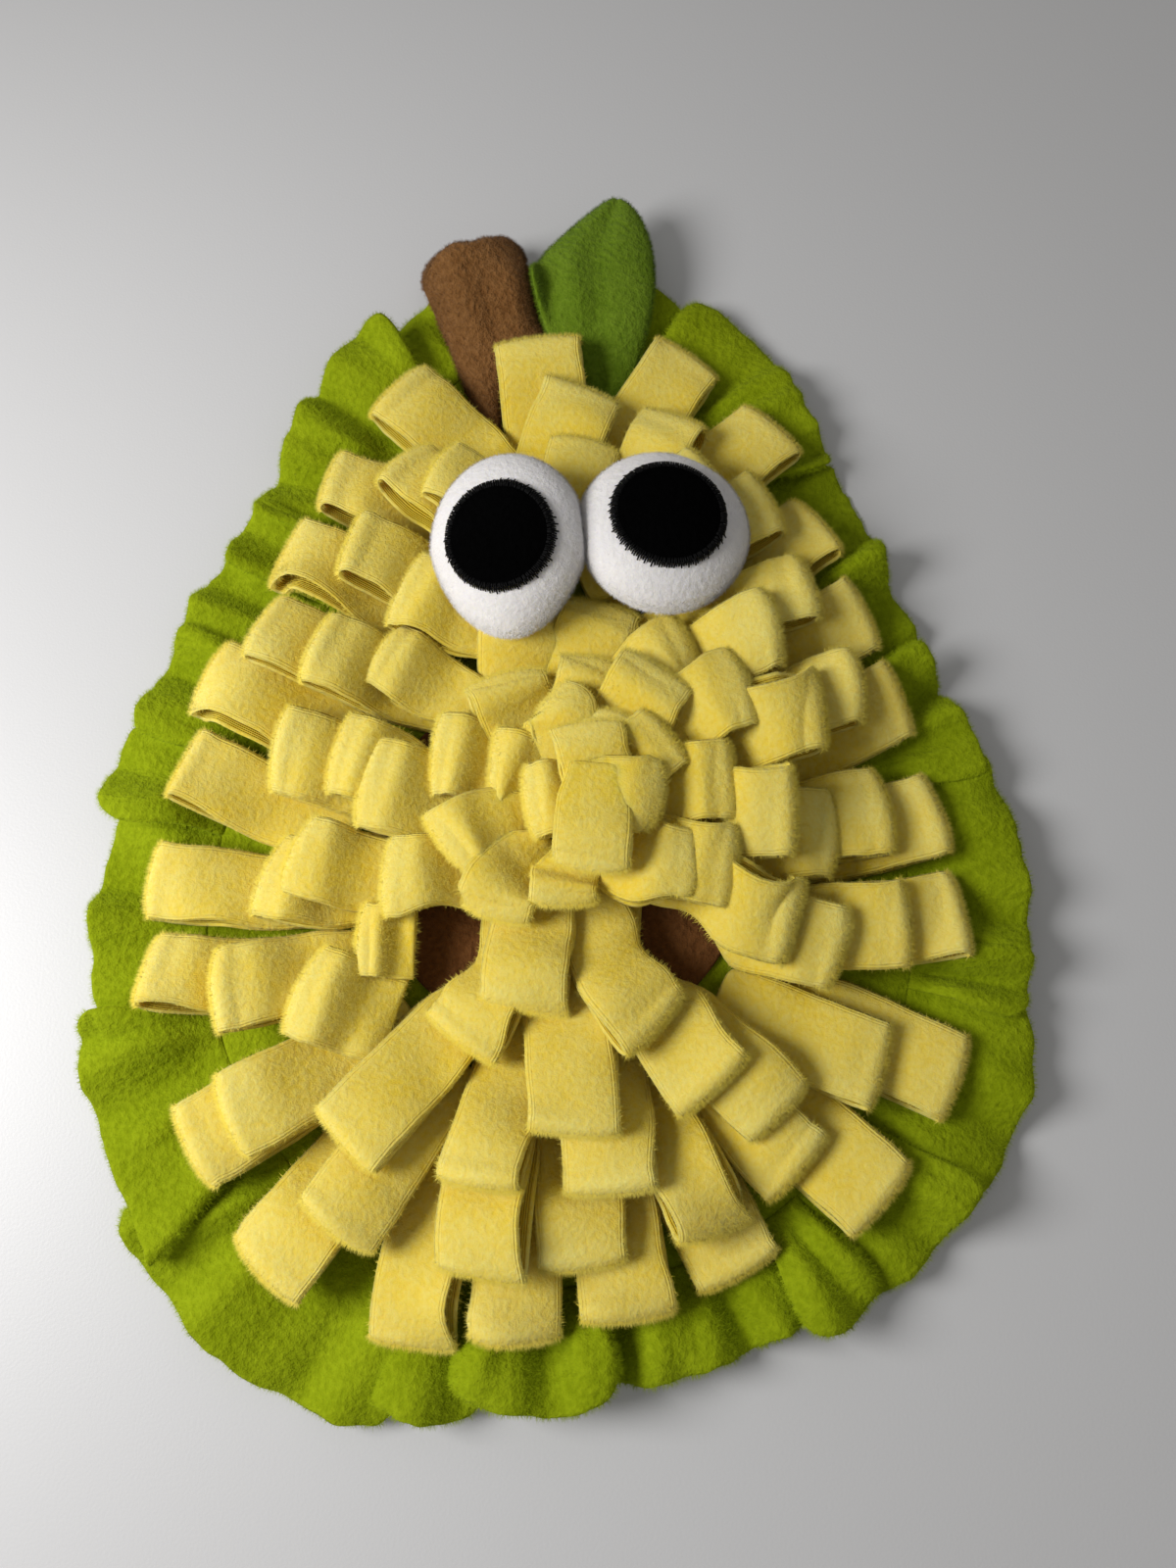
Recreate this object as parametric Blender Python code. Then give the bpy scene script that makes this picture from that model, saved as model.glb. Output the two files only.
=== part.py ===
"""Pear-shaped snuffle mat for a dog, in fleece.

A flat green base with a gathered frill carries five rows of folded yellow strips.  Each strip is a
loop: it leaves its seam, runs outwards, folds back over itself and returns to the same seam.  The
rows are laid from the rim inwards, and every loop rests on what was laid before it.

Sizes here are in millimetres; the meshes are written in metres, with +Y towards the stem and +Z up.
"""
import math

import bmesh
import bpy
import numpy as np

MM = 0.001

# Driving sizes, in millimetres
FLEECE = 2.0            # one ply of fleece
BASE_THICK = 3.0        # the base is a slightly heavier cloth
GAP = 0.3               # kept between pieces that touch
REST_CLEARANCE = 0.6    # kept under a loop that rests on the pile

BASE_LOWER = ((2, -22), 138)    # the pear is two circles and the straight sides between them
BASE_UPPER = ((-5, 165), 62)
PIT_CENTRE, PIT_RADIUS = (2, 0), 66

SEAM_WIDTH = 7.0        # backing that holds the roots of one row
SEAM_SLOT = 0.5         # height between the two plies of a loop at its root
FULL_WIDTH_AT = 0.5     # a strip is gathered at its root, and reaches its width here
TILT_LIMIT = 16.0       # most that one edge of a strip lies above the other
SLOPE_LIMIT = 0.9       # steepest that a strip runs down from what holds it up

CELL = 1.0              # grid of the height map
SAMPLE_STEP = 0.7       # spacing of the points tried against it
PILE_CORNER = np.array([-220.0, -240.0])
PILE_SPAN = (440, 560)

# ---------------------------------------------------------------------------------------------
# Frill: one row for each lobe, clockwise from the top
#   start   where the lobe's notch is, along the edge of the base
#   notch   how far the frill reaches past the base in the notch
#   reach   how far it reaches in the middle of the lobe
#   rise    how high the lobe arches off the floor
FRILL_LOBES = (
    # start, notch, reach, rise
    (8, 31, 38, 6),
    (45, 38, 49, 8),
    (117, 45, 48, 7),
    (167, 44, 41, 9),
    (213, 36, 37, 8),
    (257, 35, 39, 9),
    (319, 33, 39, 7),
    (334, 31, 47, 10),
    (389, 41, 43, 11),
    (426, 33, 39, 12),
    (443, 32, 31, 11),
    (507, 21, 36, 13),
    (545, 29, 45, 12),
    (567, 47, 58, 6),
    (644, 53, 49, 7),
    (700, 38, 40, 5),
    (769, 32, 47, 7),
    (796, 42, 47, 6),
    (835, 43, 47, 8),
    (872, 38, 41, 6),
    (897, 37, 43, 9),
    (980, 35, 35, 7),
)
LOBE_STEPS = (0.0, 0.1, 0.3, 0.6, 0.9)      # stations along one lobe
FRILL_PROFILE = ((0.0, 0.0), (0.35, 0.45), (0.7, 1.0), (1.0, 0.75))   # (part of reach, part of rise)

# ---------------------------------------------------------------------------------------------
# Loops: x and y of the middle of the fold, heading in degrees from +X, width of the strip,
# and roll, the clear height inside the fold (2 is pressed flat, 10 is an open tube)
RIM_LOOPS = (
    # x, y, heading, width, roll
    (-10, 226, 100, 34, 3),
    (56, 216, 56, 33, 2),
    (91, 177, 39, 34, 2),
    (109, 134, 33, 33, 3),
    (124, 96, 26, 32, 3),
    (136, 60, 27, 31, 3),
    (149, 14, 15, 33, 3),
    (154, -26, 8, 33, 3),
    (147, -87, -27, 33, 2),
    (117, -129, -44, 34, 2),
    (67, -154, -63, 33, 2),
    (27, -168, -84, 33, 3),
    (-12, -174, -89, 31, 2),
    (-47, -175, -90, 30, 2),
    (-100, -152, -125, 32, 7),
    (-130, -111, -150, 33, 4),
    (-152, -47, 172, 29, 5),
    (-154, -12, 173, 31, 3),
    (-145, 33, 157, 31, 3),
    (-136, 67, 156, 32, 3),
    (-117, 86, 162, 31, 2),
    (-109, 121, 161, 33, 3),
    (-97, 155, 165, 29, 9),
    (-70, 199, 141, 33, 6),
)
SECOND_LOOPS = (
    (11, 195, 70, 34, 3),
    (51, 180, 57, 31, 8),
    (87, 140, 24, 31, 6),
    (103, 102, 6, 29, 9),
    (120, 61, 7, 30, 7),
    (128, 13, 5, 34, 4),
    (132, -30, 1, 33, 3),
    (120, -83, -22, 33, 3),
    (89, -118, -38, 31, 3),
    (56, -137, -72, 29, 5),
    (11, -150, -88, 32, 3),
    (-23, -152, -91, 32, 3),
    (-75, -138, -120, 31, 3),
    (-116, -100, -157, 31, 4),
    (-126, -56, 192, 31, 8),
    (-111, -10, 166, 34, 11),
    (-109, 38, 168, 34, 4),
    (-96, 77, 163, 31, 6),
    (-85, 121, 163, 31, 6),
    (-65, 159, 138, 30, 7),
)
THIRD_LOOPS = (
    (12, 168, 80, 30, 2),
    (62, 148, 36, 28, 2),
    (87, 83, 20, 31, 6),
    (101, 49, 8, 33, 7),
    (106, 4, 0, 34, 4),
    (107, -40, -12, 31, 5),
    (81, -99, -46, 29, 3),
    (21, -126, -88, 33, 3),
    (-25, -124, -101, 30, 3),
    (-73, -109, -131, 32, 3),
    (-93, -53, 160, 34, 9),
    (-98, -4, 162, 31, 4),
    (-85, 36, 165, 32, 6),
    (-70, 77, 148, 29, 5),
    (-62, 103, 158, 34, 5),
    (-49, 150, 160, 28, 2),
)
FOURTH_LOOPS = (
    (90, 9, 0, 34, 4),
    (89, -32, -10, 31, 5),
    (59, -91, -51, 33, 3),
    (8, -107, -90, 33, 3),
    (-35, -74, -130, 31, 3),
    (-73, -36, 178, 31, 8),
    (-73, 24, 166, 36, 6),
    (-16, 96, 102, 33, 4),
    (18, 98, 80, 33, 4),
    (52, 78, 18, 28, 7),
    (73, 58, 17, 33, 6),
)
FIFTH_LOOPS = (
    (68, 21, 0, 31, 5),
    (67, -12, -6, 30, 6),
    (38, -70, -48, 32, 3),
    (-10, -62, -93, 32, 4),
    (-63, -13, 175, 32, 5),
    (-47, 34, 178, 33, 6),
    (-20, 66, 106, 33, 5),
    (14, 72, 80, 26, 6),
    (40, 64, 60, 32, 6),
)
HEART_LOOPS = (
    (52, -15, -2, 32, 4),
    (43, 38, 40, 28, 5),
    (19, 47, 76, 24, 5),
    (-5, 51, 122, 24, 6),
    (-25, 29, 164, 28, 7),
    (-42, 8, 176, 28, 4),
    (-26, -26, 238, 27, 6),
    (4, -26, -88, 24, 4),
)

# Each row: node, loops, seam as two circles, width of a strip at its root, stations along one ply
LOOP_ROWS = (
    ("loops_rim", RIM_LOOPS, ((2, -22), 92), ((-2, 150), 22), 22, (0, 0.25, 0.5, 0.75, 1)),
    ("loops_second", SECOND_LOOPS, ((2, -22), 75), ((0, 130), 14), 22, (0, 0.25, 0.5, 0.75, 1)),
    ("loops_third", THIRD_LOOPS, ((2, -8), 60), ((0, 118), 12), 20, (0, 0.25, 0.5, 0.75, 1)),
    ("loops_fourth", FOURTH_LOOPS, ((4, 6), 35), ((2, 34), 30), 17, (0, 0.25, 0.5, 0.75, 1)),
    ("loops_fifth", FIFTH_LOOPS, ((4, 5), 26), ((4, 26), 22), 15, (0, 0.3, 0.65, 1)),
    ("loops_heart", HEART_LOOPS, ((6, 6), 16), ((6, 20), 13), 10, (0, 0.35, 0.7, 1)),
)
FOLD_ANGLES = (-40, 40)     # stations round the outside of a fold, in degrees

# Eyes: centre, half sizes across and along, half thickness, taper towards the bottom,
# lean of the face towards +X and towards the bottom (degrees), radius of the pupil
EYES = (
    # side, x, y, half_x, half_y, half_z, taper, lean_x, lean_down, pupil
    ("left", -18, 114, 31, 36, 17, 0.16, 2, 14, 21),
    ("right", 42, 121, 34, 34, 17, 0.05, 6, -3, 22),
)
EYE_SUNK = 6.0              # how deep an eye presses into the loops
PUPIL_THICK = 1.6
PUPIL_OFFSET = 0.5

# Stem and leaf: their outlines, from root to tip; y of each station, x of its left and right edge,
# height of its underside, and thickness
STEM = (
    # y_left, x_left, y_right, x_right, under, thick
    (186, -33, 178, -24, 1, 4),
    (206, -41, 202, -24, 2, 7),
    (224, -48, 220, -7, 4, 12),
    (240, -55, 236, -9, 4, 16),
    (253, -60, 252, -13, 4, 17),
    (263, -58, 268, -17, 5, 14),
    (268, -51, 276, -22, 7, 8),
)
LEAF = (
    (188, 15, 190, 24, 1, 4),
    (204, 8, 206, 31, 3, 6),
    (222, -3, 224, 37, 8, 9),
    (243, -11, 243, 41, 12, 11),
    (258, -9, 260, 41, 14, 11),
    (273, 4, 274, 38, 16, 9),
    (285, 17, 284, 33, 18, 6),
    (289, 23, 288, 28, 19, 4),
)
PAD_ACROSS = (-1.0, -0.85, -0.5, 0.0, 0.5, 0.85, 1.0)
PAD_EDGE = 0.22             # thickness of a pad at its edge, as a part of its middle
LEAF_CREASE = 0.35          # how deep the crease along the leaf goes

LIME = (0.26, 0.45, 0.02, 1)
LEAF_GREEN = (0.10, 0.30, 0.04, 1)
YELLOW = (0.80, 0.68, 0.22, 1)
BROWN = (0.20, 0.10, 0.04, 1)
PIT_BROWN = (0.12, 0.05, 0.02, 1)
WHITE = (0.85, 0.84, 0.82, 1)
BLACK = (0.006, 0.006, 0.007, 1)


# ---------------------------------------------------------------------------------------------
# Helpers
def cloth_material(name, colour):
    """A rough, non-metallic cloth."""
    material = bpy.data.materials.new(name)
    material.use_nodes = True
    shader = material.node_tree.nodes["Principled BSDF"]
    shader.inputs["Base Color"].default_value = colour
    shader.inputs["Roughness"].default_value = 0.95
    shader.inputs["Metallic"].default_value = 0.0
    return material


def add_object(name, vertices, faces, material):
    """A closed mesh from points in millimetres, its faces turned outwards."""
    mesh = bpy.data.meshes.new(name)
    mesh.from_pydata([tuple(float(c) * MM for c in v) for v in vertices], [], faces)
    shape = bmesh.new()
    shape.from_mesh(mesh)
    bmesh.ops.recalc_face_normals(shape, faces=shape.faces)
    shape.to_mesh(mesh)
    shape.free()
    mesh.materials.append(material)
    obj = bpy.data.objects.new(name, mesh)
    bpy.context.collection.objects.link(obj)
    return obj


def smooth_step(value):
    value = min(max(value, 0.0), 1.0)
    return value * value * (3 - 2 * value)


def turn_left(vector):
    return np.array([-vector[1], vector[0]])


def toward(degrees):
    return np.array([math.cos(math.radians(degrees)), math.sin(math.radians(degrees))])


class Outline:
    """Two circles and the straight sides between them, measured clockwise from the top."""

    TURN_STEPS = 720

    def __init__(self, lower, upper):
        circles = [(np.array(centre, float), radius) for centre, radius in (lower, upper)]
        points = []
        for step in range(self.TURN_STEPS + 1):
            normal = toward(90 - 360 * step / self.TURN_STEPS)
            centre, radius = max(circles, key=lambda circle: circle[0] @ normal + circle[1])
            points.append(centre + radius * normal)
        self.points = np.array(points)
        steps = np.linalg.norm(np.diff(self.points, axis=0), axis=1)
        self.places = np.concatenate([[0], np.cumsum(steps)])
        self.length = self.places[-1]

    def at(self, place):
        """The point at a place along the outline, and the outward direction there."""
        def point(p):
            p = p % self.length
            return np.array([np.interp(p, self.places, self.points[:, axis]) for axis in (0, 1)])
        ahead = point(place + 0.5) - point(place - 0.5)
        return point(place), turn_left(ahead / np.linalg.norm(ahead))

    def root_for(self, tip, heading):
        """Where a strip that ends at tip, and points along heading, leaves this outline."""
        places = np.arange(0, self.length, 0.5)
        points = np.array([self.at(place)[0] for place in places])
        back = (tip - points) @ heading
        aside = (tip - points) @ turn_left(heading)
        score = np.where(back > 5, np.hypot(back, 1.5 * aside), np.inf)
        return places[int(score.argmin())]


def triangle_weights(corners):
    """Corner weights of points spread closely over a triangle."""
    span = max(np.linalg.norm(corners[i] - corners[i - 1]) for i in range(3))
    count = int(span / SAMPLE_STEP) + 2
    i, j = np.mgrid[0:count + 1, 0:count + 1]
    inside = i + j <= count
    i, j = i[inside] / count, j[inside] / count
    return np.stack([i, j, 1 - i - j], axis=1)


class Pile:
    """The height of everything that has been laid down so far, on a grid."""

    def __init__(self):
        self.top = np.zeros((int(PILE_SPAN[0] / CELL), int(PILE_SPAN[1] / CELL)))

    def cells(self, plan):
        return tuple(((plan - PILE_CORNER) / CELL).astype(int).T)

    def height(self, plan):
        return self.top[self.cells(plan)]

    def crest(self, plan, reach):
        """The highest point within a reach of each place."""
        best = self.height(plan)
        for ring in (0.5, 1.0):
            for turn in range(0, 360, 30):
                best = np.maximum(best, self.height(plan + ring * reach * toward(turn)))
        return best

    def lay(self, points, triangles, lift=0.0):
        for triangle in triangles:
            corners = points[list(triangle)]
            spread = triangle_weights(corners[:, :2]) @ corners
            np.maximum.at(self.top, self.cells(spread[:, :2]), spread[:, 2] + lift)


def settle(pile, plan, triangles, owners, start):
    """Corner heights, raised just enough for the triangles to rest on the pile."""
    places, weights, ids = [], [], []
    for triangle in triangles:
        corners = list(triangle)
        spread = triangle_weights(plan[corners])
        weights.append(spread)
        places.append(spread @ plan[corners])
        ids.append(np.tile([owners[corner] for corner in corners], (len(spread), 1)))
    weights, ids = np.concatenate(weights), np.concatenate(ids)
    need = pile.height(np.concatenate(places)) + REST_CLEARANCE
    heights = np.array(start, float)
    for _ in range(600):
        short = need - (weights * heights[ids]).sum(axis=1)
        worst = int(short.argmax())
        if short[worst] <= 0:
            break
        raised = np.zeros(len(heights))
        np.add.at(raised, ids[worst], weights[worst])
        heights += raised * short[worst] / (raised @ raised)
    return heights


# ---------------------------------------------------------------------------------------------
# Base, patch and frill
def make_base(pile, material):
    outline = Outline(BASE_LOWER, BASE_UPPER)
    rim = [outline.at(place)[0] for place, _, _ in frill_stations(outline.length)]
    count = len(rim)
    shape = bmesh.new()
    floor = shape.faces.new([shape.verts.new((x * MM, y * MM, 0)) for x, y in rim])
    raised = bmesh.ops.extrude_face_region(shape, geom=[floor])["geom"]
    for vertex in (item for item in raised if isinstance(item, bmesh.types.BMVert)):
        vertex.co.z = BASE_THICK * MM
    bmesh.ops.recalc_face_normals(shape, faces=shape.faces)
    mesh = bpy.data.meshes.new("base_cloth")
    shape.to_mesh(mesh)
    shape.free()
    mesh.materials.append(material)
    bpy.context.collection.objects.link(bpy.data.objects.new("base_cloth", mesh))
    middle = np.array([0.0, 40.0, BASE_THICK])
    points = np.array([middle] + [(x, y, BASE_THICK) for x, y in rim])
    pile.lay(points, [(0, 1 + step, 1 + (step + 1) % count) for step in range(count)])


def make_pit_patch(pile, material):
    under = BASE_THICK + GAP
    shape = bmesh.new()
    bmesh.ops.create_cone(shape, cap_ends=True, segments=40, radius1=PIT_RADIUS * MM,
                          radius2=PIT_RADIUS * MM, depth=FLEECE * MM)
    middle = (PIT_CENTRE[0] * MM, PIT_CENTRE[1] * MM, (under + FLEECE / 2) * MM)
    bmesh.ops.translate(shape, verts=shape.verts, vec=middle)
    mesh = bpy.data.meshes.new("pit_patch")
    shape.to_mesh(mesh)
    shape.free()
    mesh.materials.append(material)
    bpy.context.collection.objects.link(bpy.data.objects.new("pit_patch", mesh))
    centre = np.array(PIT_CENTRE, float)
    top = under + FLEECE
    rim = [np.append(centre + PIT_RADIUS * toward(turn), top) for turn in range(0, 360, 5)]
    points = np.array([np.append(centre, top)] + rim)
    count = len(rim)
    pile.lay(points, [(0, 1 + step, 1 + (step + 1) % count) for step in range(count)])


def frill_stations(length):
    """Place, reach and rise of every station round the frill."""
    stations = []
    for index, (start, notch, reach, rise) in enumerate(FRILL_LOBES):
        following = FRILL_LOBES[(index + 1) % len(FRILL_LOBES)]
        span = (following[0] - start) % length
        for part in LOBE_STEPS:
            arch = math.sin(math.pi * part) ** 0.55 if part else 0.0
            valley = notch + (following[1] - notch) * part
            stations.append((start + span * part, valley + (reach - valley) * arch, rise * arch))
    return stations


def make_frill(pile, material):
    """A gathered strip: it starts beside the base's edge and arches between its notches."""
    outline = Outline(BASE_LOWER, BASE_UPPER)
    stations = frill_stations(outline.length)
    across = len(FRILL_PROFILE)
    points = []
    for place, reach, rise in stations:
        edge, outward = outline.at(place)
        for part, lift in FRILL_PROFILE:
            spot = edge + outward * (GAP * 3 + reach * part)
            points.append((*spot, rise * lift))
    count = len(points)
    upper = [(x, y, z + FLEECE) for x, y, z in points]
    quads, faces = [], []
    for station in range(len(stations)):
        here = station * across
        there = (station + 1) % len(stations) * across
        for column in range(across - 1):
            quads.append((here + column, here + column + 1, there + column + 1, there + column))
        for edge in (0, across - 1):
            faces.append((here + edge, there + edge, there + edge + count, here + edge + count))
    faces += quads + [tuple(corner + count for corner in quad) for quad in quads]
    add_object("frill", points + upper, faces, material)
    triangles = [t for a, b, c, d in quads for t in ((a, b, c), (a, c, d), (a, b, d), (b, c, d))]
    pile.lay(np.array(upper), triangles, 0.2)


# ---------------------------------------------------------------------------------------------
# Stem and leaf: flat stuffed pads
def make_pad(name, stations, crease, pile, material):
    """A stuffed pad between two edges, thick in the middle and thin at its sides."""
    lower, upper = [], []
    for y_left, x_left, y_right, x_right, under, thick in stations:
        for side in PAD_ACROSS:
            part = (side + 1) / 2
            plan = np.array([x_left + (x_right - x_left) * part, y_left + (y_right - y_left) * part])
            full = thick * (PAD_EDGE + (1 - PAD_EDGE) * math.sqrt(1 - side * side))
            if side == 0:
                full *= 1 - crease
            floor = float(pile.crest(plan[None, :], 5)[0]) + REST_CLEARANCE
            bottom = max(floor, under + (thick - full) * 0.3)
            lower.append((*plan, bottom))
            upper.append((*plan, bottom + full))
    across, count = len(PAD_ACROSS), len(stations)
    size = across * count
    faces, top_triangles = [], []
    for row in range(count - 1):
        for column in range(across - 1):
            a = row * across + column
            b, c, d = a + 1, a + across + 1, a + across
            faces += [(a, b, c, d), (a + size, b + size, c + size, d + size)]
            top_triangles += [(a, b, c), (a, c, d), (a, b, d), (b, c, d)]
    rim = [column for column in range(across)]
    rim += [row * across + across - 1 for row in range(1, count)]
    rim += [size - 1 - column for column in range(1, across)]
    rim += [row * across for row in range(count - 2, 0, -1)]
    for here, there in zip(rim, rim[1:] + rim[:1]):
        faces.append((here, there, there + size, here + size))
    add_object(name, lower + upper, faces, material)
    pile.lay(np.array(upper), top_triangles, 0.3)


# ---------------------------------------------------------------------------------------------
# Loops
def spread_roots(wanted, pitch, length):
    """Move roots apart along their seam until none is closer than the pitch."""
    order = np.argsort(wanted)
    places = np.array(wanted, float)[order]
    for _ in range(4000):
        gaps = np.diff(np.append(places, places[0] + length))
        tight = np.maximum(pitch - gaps, 0) / 2
        if tight.max() < 0.01:
            break
        places -= tight
        places += np.roll(tight, 1)
    spread = np.empty(len(places))
    spread[order] = places
    return spread


def centre_line(root, leaving, tip, heading, part):
    """A curve from the root to the tip, and its direction there."""
    chord = np.linalg.norm(tip - root)
    straight = (tip - root) / chord
    start = leaving * 0.4 + straight * 0.6
    start = start / np.linalg.norm(start) * chord
    end = heading * chord
    t = part
    point = ((2 * t**3 - 3 * t**2 + 1) * root + (t**3 - 2 * t**2 + t) * start
             + (3 * t**2 - 2 * t**3) * tip + (t**3 - t**2) * end)
    slope = ((6 * t**2 - 6 * t) * root + (3 * t**2 - 4 * t + 1) * start
             + (6 * t - 6 * t**2) * tip + (3 * t**2 - 2 * t) * end)
    return point, slope / np.linalg.norm(slope)


def room_beside(point, side, half, others):
    """How far a strip can reach to one side without crossing the middle to its neighbours."""
    while half > 3:
        edge = point + side * half
        if np.linalg.norm(others - edge, axis=1).min() > half + 1.5:
            break
        half -= 0.5
    return half


def make_loop(pile, loop, root_edges, leaving, root_width, root_floor, others, stations):
    """The sections of one loop, from its lower root round the fold to its upper root.

    A section is four points: outer left, outer right, inner right, inner left."""
    x, y, heading_degrees, width, roll = loop
    heading = toward(heading_degrees)
    fold = FLEECE + roll / 2
    tip = np.array([x, y], float) - heading * fold
    root = sum(root_edges) / 2
    plan = list(root_edges)
    for part in stations[1:]:
        middle, along = centre_line(root, leaving, tip, heading, part)
        half = (root_width + (width - root_width) * smooth_step(part / FULL_WIDTH_AT)) / 2
        nearby = [centre_line(root, leaving, tip, heading, min(part + shift, 1))
                  for shift in (-0.12, 0, 0.12)]
        for turn in (1, -1):
            room = min(room_beside(point, turn * turn_left(ahead), half, others)
                       for point, ahead in nearby)
            plan.append(middle + turn * turn_left(along) * room)
    count = len(stations)
    plan += [plan[-2] + heading * fold, plan[-1] + heading * fold]
    plan = np.array(plan)
    triangles = []
    for step in range(count):
        left = 2 * step
        triangles += [(left, left + 1, left + 3), (left, left + 3, left + 2)]

    # The fold is as high as the last station before it.
    owners = list(range(2 * count)) + [2 * count - 2, 2 * count - 1]
    start = np.full(2 * count, BASE_THICK + REST_CLEARANCE)
    start[:2] = root_floor
    heights = settle(pile, plan, triangles, owners, start)
    length = np.linalg.norm(tip - root)
    for steps in (range(1, count), range(count - 2, -1, -1)):
        for step in steps:
            near = step - 1 if steps.step > 0 else step + 1
            drop = SLOPE_LIMIT * length * abs(stations[step] - stations[near])
            here, there = slice(2 * step, 2 * step + 2), slice(2 * near, 2 * near + 2)
            heights[here] = np.maximum(heights[here], heights[there] - drop)
    for step in range(count):
        pair = heights[2 * step:2 * step + 2]
        np.maximum(pair, pair.max() - TILT_LIMIT, out=pair)

    def gap(step):
        return SEAM_SLOT + (roll - SEAM_SLOT) * stations[step] ** 3

    sections = []
    for step in range(count):
        left, right = plan[2 * step], plan[2 * step + 1]
        low = heights[2 * step:2 * step + 2]
        sections.append([(*left, low[0]), (*right, low[1]),
                         (*right, low[1] + FLEECE), (*left, low[0] + FLEECE)])
    low = heights[-2:]
    for angle in FOLD_ANGLES:
        outer, inner = fold * toward(angle), (roll / 2) * toward(angle)
        left, right = plan[2 * count - 2], plan[2 * count - 1]
        sections.append([(*(left + heading * outer[0]), low[0] + fold + outer[1]),
                         (*(right + heading * outer[0]), low[1] + fold + outer[1]),
                         (*(right + heading * inner[0]), low[1] + fold + inner[1]),
                         (*(left + heading * inner[0]), low[0] + fold + inner[1])])
    for step in reversed(range(count)):
        left, right = plan[2 * step], plan[2 * step + 1]
        low = heights[2 * step:2 * step + 2] + FLEECE + gap(step)
        sections.append([(*left, low[0] + FLEECE), (*right, low[1] + FLEECE),
                         (*right, low[1]), (*left, low[0])])

    tops = [heights[step] + 2 * FLEECE + gap(step // 2) for step in range(2 * count)]
    tops += tops[-2:]
    pile.lay(np.column_stack([plan, tops]), triangles)
    return sections, heights[:2]


def make_row(pile, name, loops, lower, upper, root_width, stations, material):
    """One row of loops, their roots fused in a narrow backing that follows the seam."""
    seam = Outline(lower, upper)
    wanted = [seam.root_for(np.array(loop[:2], float), toward(loop[2])) for loop in loops]
    pitch = min(root_width + 3, 0.999 * seam.length / len(loops))
    root_width = min(root_width, pitch - 2)
    places = spread_roots(wanted, pitch, seam.length)
    order = list(np.argsort(places))

    # The least height of the backing beside each root: it clears whatever lies below it.
    floors = {}
    for rank, index in enumerate(order):
        before = (places[index] - places[order[rank - 1]]) % seam.length - root_width / 2
        after = (places[order[(rank + 1) % len(order)]] - places[index]) % seam.length - root_width / 2
        tried = []
        for shift in np.arange(-before - 1, after + 1, 1.0):
            point, outward = seam.at(places[index] + shift)
            tried += [point + outward * depth for depth in np.arange(-SEAM_WIDTH - 1, 2, 1.0)]
        floors[index] = float(pile.height(np.array(tried)).max()) + REST_CLEARANCE

    edges, lines = {}, {}
    for index, (x, y, heading_degrees, _, _) in enumerate(loops):
        for side, shift in enumerate((-root_width / 2, root_width / 2)):
            point, outward = seam.at(places[index] + shift)
            edges[index, side] = (point, point - outward * SEAM_WIDTH)
        root, leaving = seam.at(places[index])
        tip, heading = np.array([x, y], float), toward(heading_degrees)
        lines[index] = [centre_line(root, leaving, tip, heading, part)[0]
                        for part in np.linspace(0, 1, 30)]

    sections, root_heights = {}, {}
    for index, loop in enumerate(loops):
        others = np.concatenate([line for other, line in lines.items() if other != index])
        root_edges = (edges[index, 0][0], edges[index, 1][0])
        sections[index], root_heights[index] = make_loop(
            pile, loop, root_edges, seam.at(places[index])[1], root_width, floors[index], others,
            stations)

    # Six corners at each edge of each root: four up the outer wall, two up the inner one.
    levels = (0, FLEECE, FLEECE + SEAM_SLOT, 2 * FLEECE + SEAM_SLOT)
    vertices, faces, corners = [], [], {}
    for (index, side), (outer, inner) in edges.items():
        corners[index, side] = list(range(len(vertices), len(vertices) + 6))
        vertices += [(*outer, root_heights[index][side] + level) for level in levels]
        vertices += [(*inner, root_heights[index][side] + level) for level in (levels[-1], 0)]
    for rank, index in enumerate(order):
        left, right = corners[index, 0], corners[index, 1]
        ahead = corners[order[(rank + 1) % len(order)], 0]
        walls = [(left, right, step) for step in (1, 3, 4, 5)]
        walls += [(right, ahead, step) for step in range(6)]
        for here, there, step in walls:
            above = (step + 1) % 6
            faces.append((here[step], there[step], there[above], here[above]))
        for here, there in ((left, right), (right, ahead)):
            points = [vertices[corner] for corner in (here[3], there[3], there[4], here[4])]
            pile.lay(np.array(points), [(0, 1, 2), (0, 2, 3), (0, 1, 3), (1, 2, 3)])

    for index in range(len(loops)):
        left, right = corners[index, 0], corners[index, 1]
        rings = [[left[0], right[0], right[1], left[1]]]
        for section in sections[index][1:-1]:
            rings.append(list(range(len(vertices), len(vertices) + 4)))
            vertices += section
        rings.append([left[3], right[3], right[2], left[2]])
        for step, (here, there) in enumerate(zip(rings, rings[1:])):
            faces += [(here[0], here[3], there[3], there[0]), (here[1], here[2], there[2], there[1])]
            for left_side, right_side in ((0, 1), (3, 2)):
                a, b, c, d = here[left_side], here[right_side], there[right_side], there[left_side]
                outwards = step < len(stations)
                faces += [(a, b, c), (a, c, d)] if outwards else [(a, b, d), (b, c, d)]
    add_object(name, vertices, faces, material)


# ---------------------------------------------------------------------------------------------
# Eyes
def eye_point(eye, around, up):
    """A point on the skin of an eye, before it is leaned: around and up are in degrees."""
    _, _, _, half_x, half_y, half_z, taper, _, _, _ = eye
    flat = math.cos(math.radians(up))
    x = half_x * flat * math.cos(math.radians(around))
    y = half_y * flat * math.sin(math.radians(around))
    x *= 1 + taper * min(y, 0) / half_y
    return np.array([x, y, half_z * math.sin(math.radians(up))])


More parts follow.
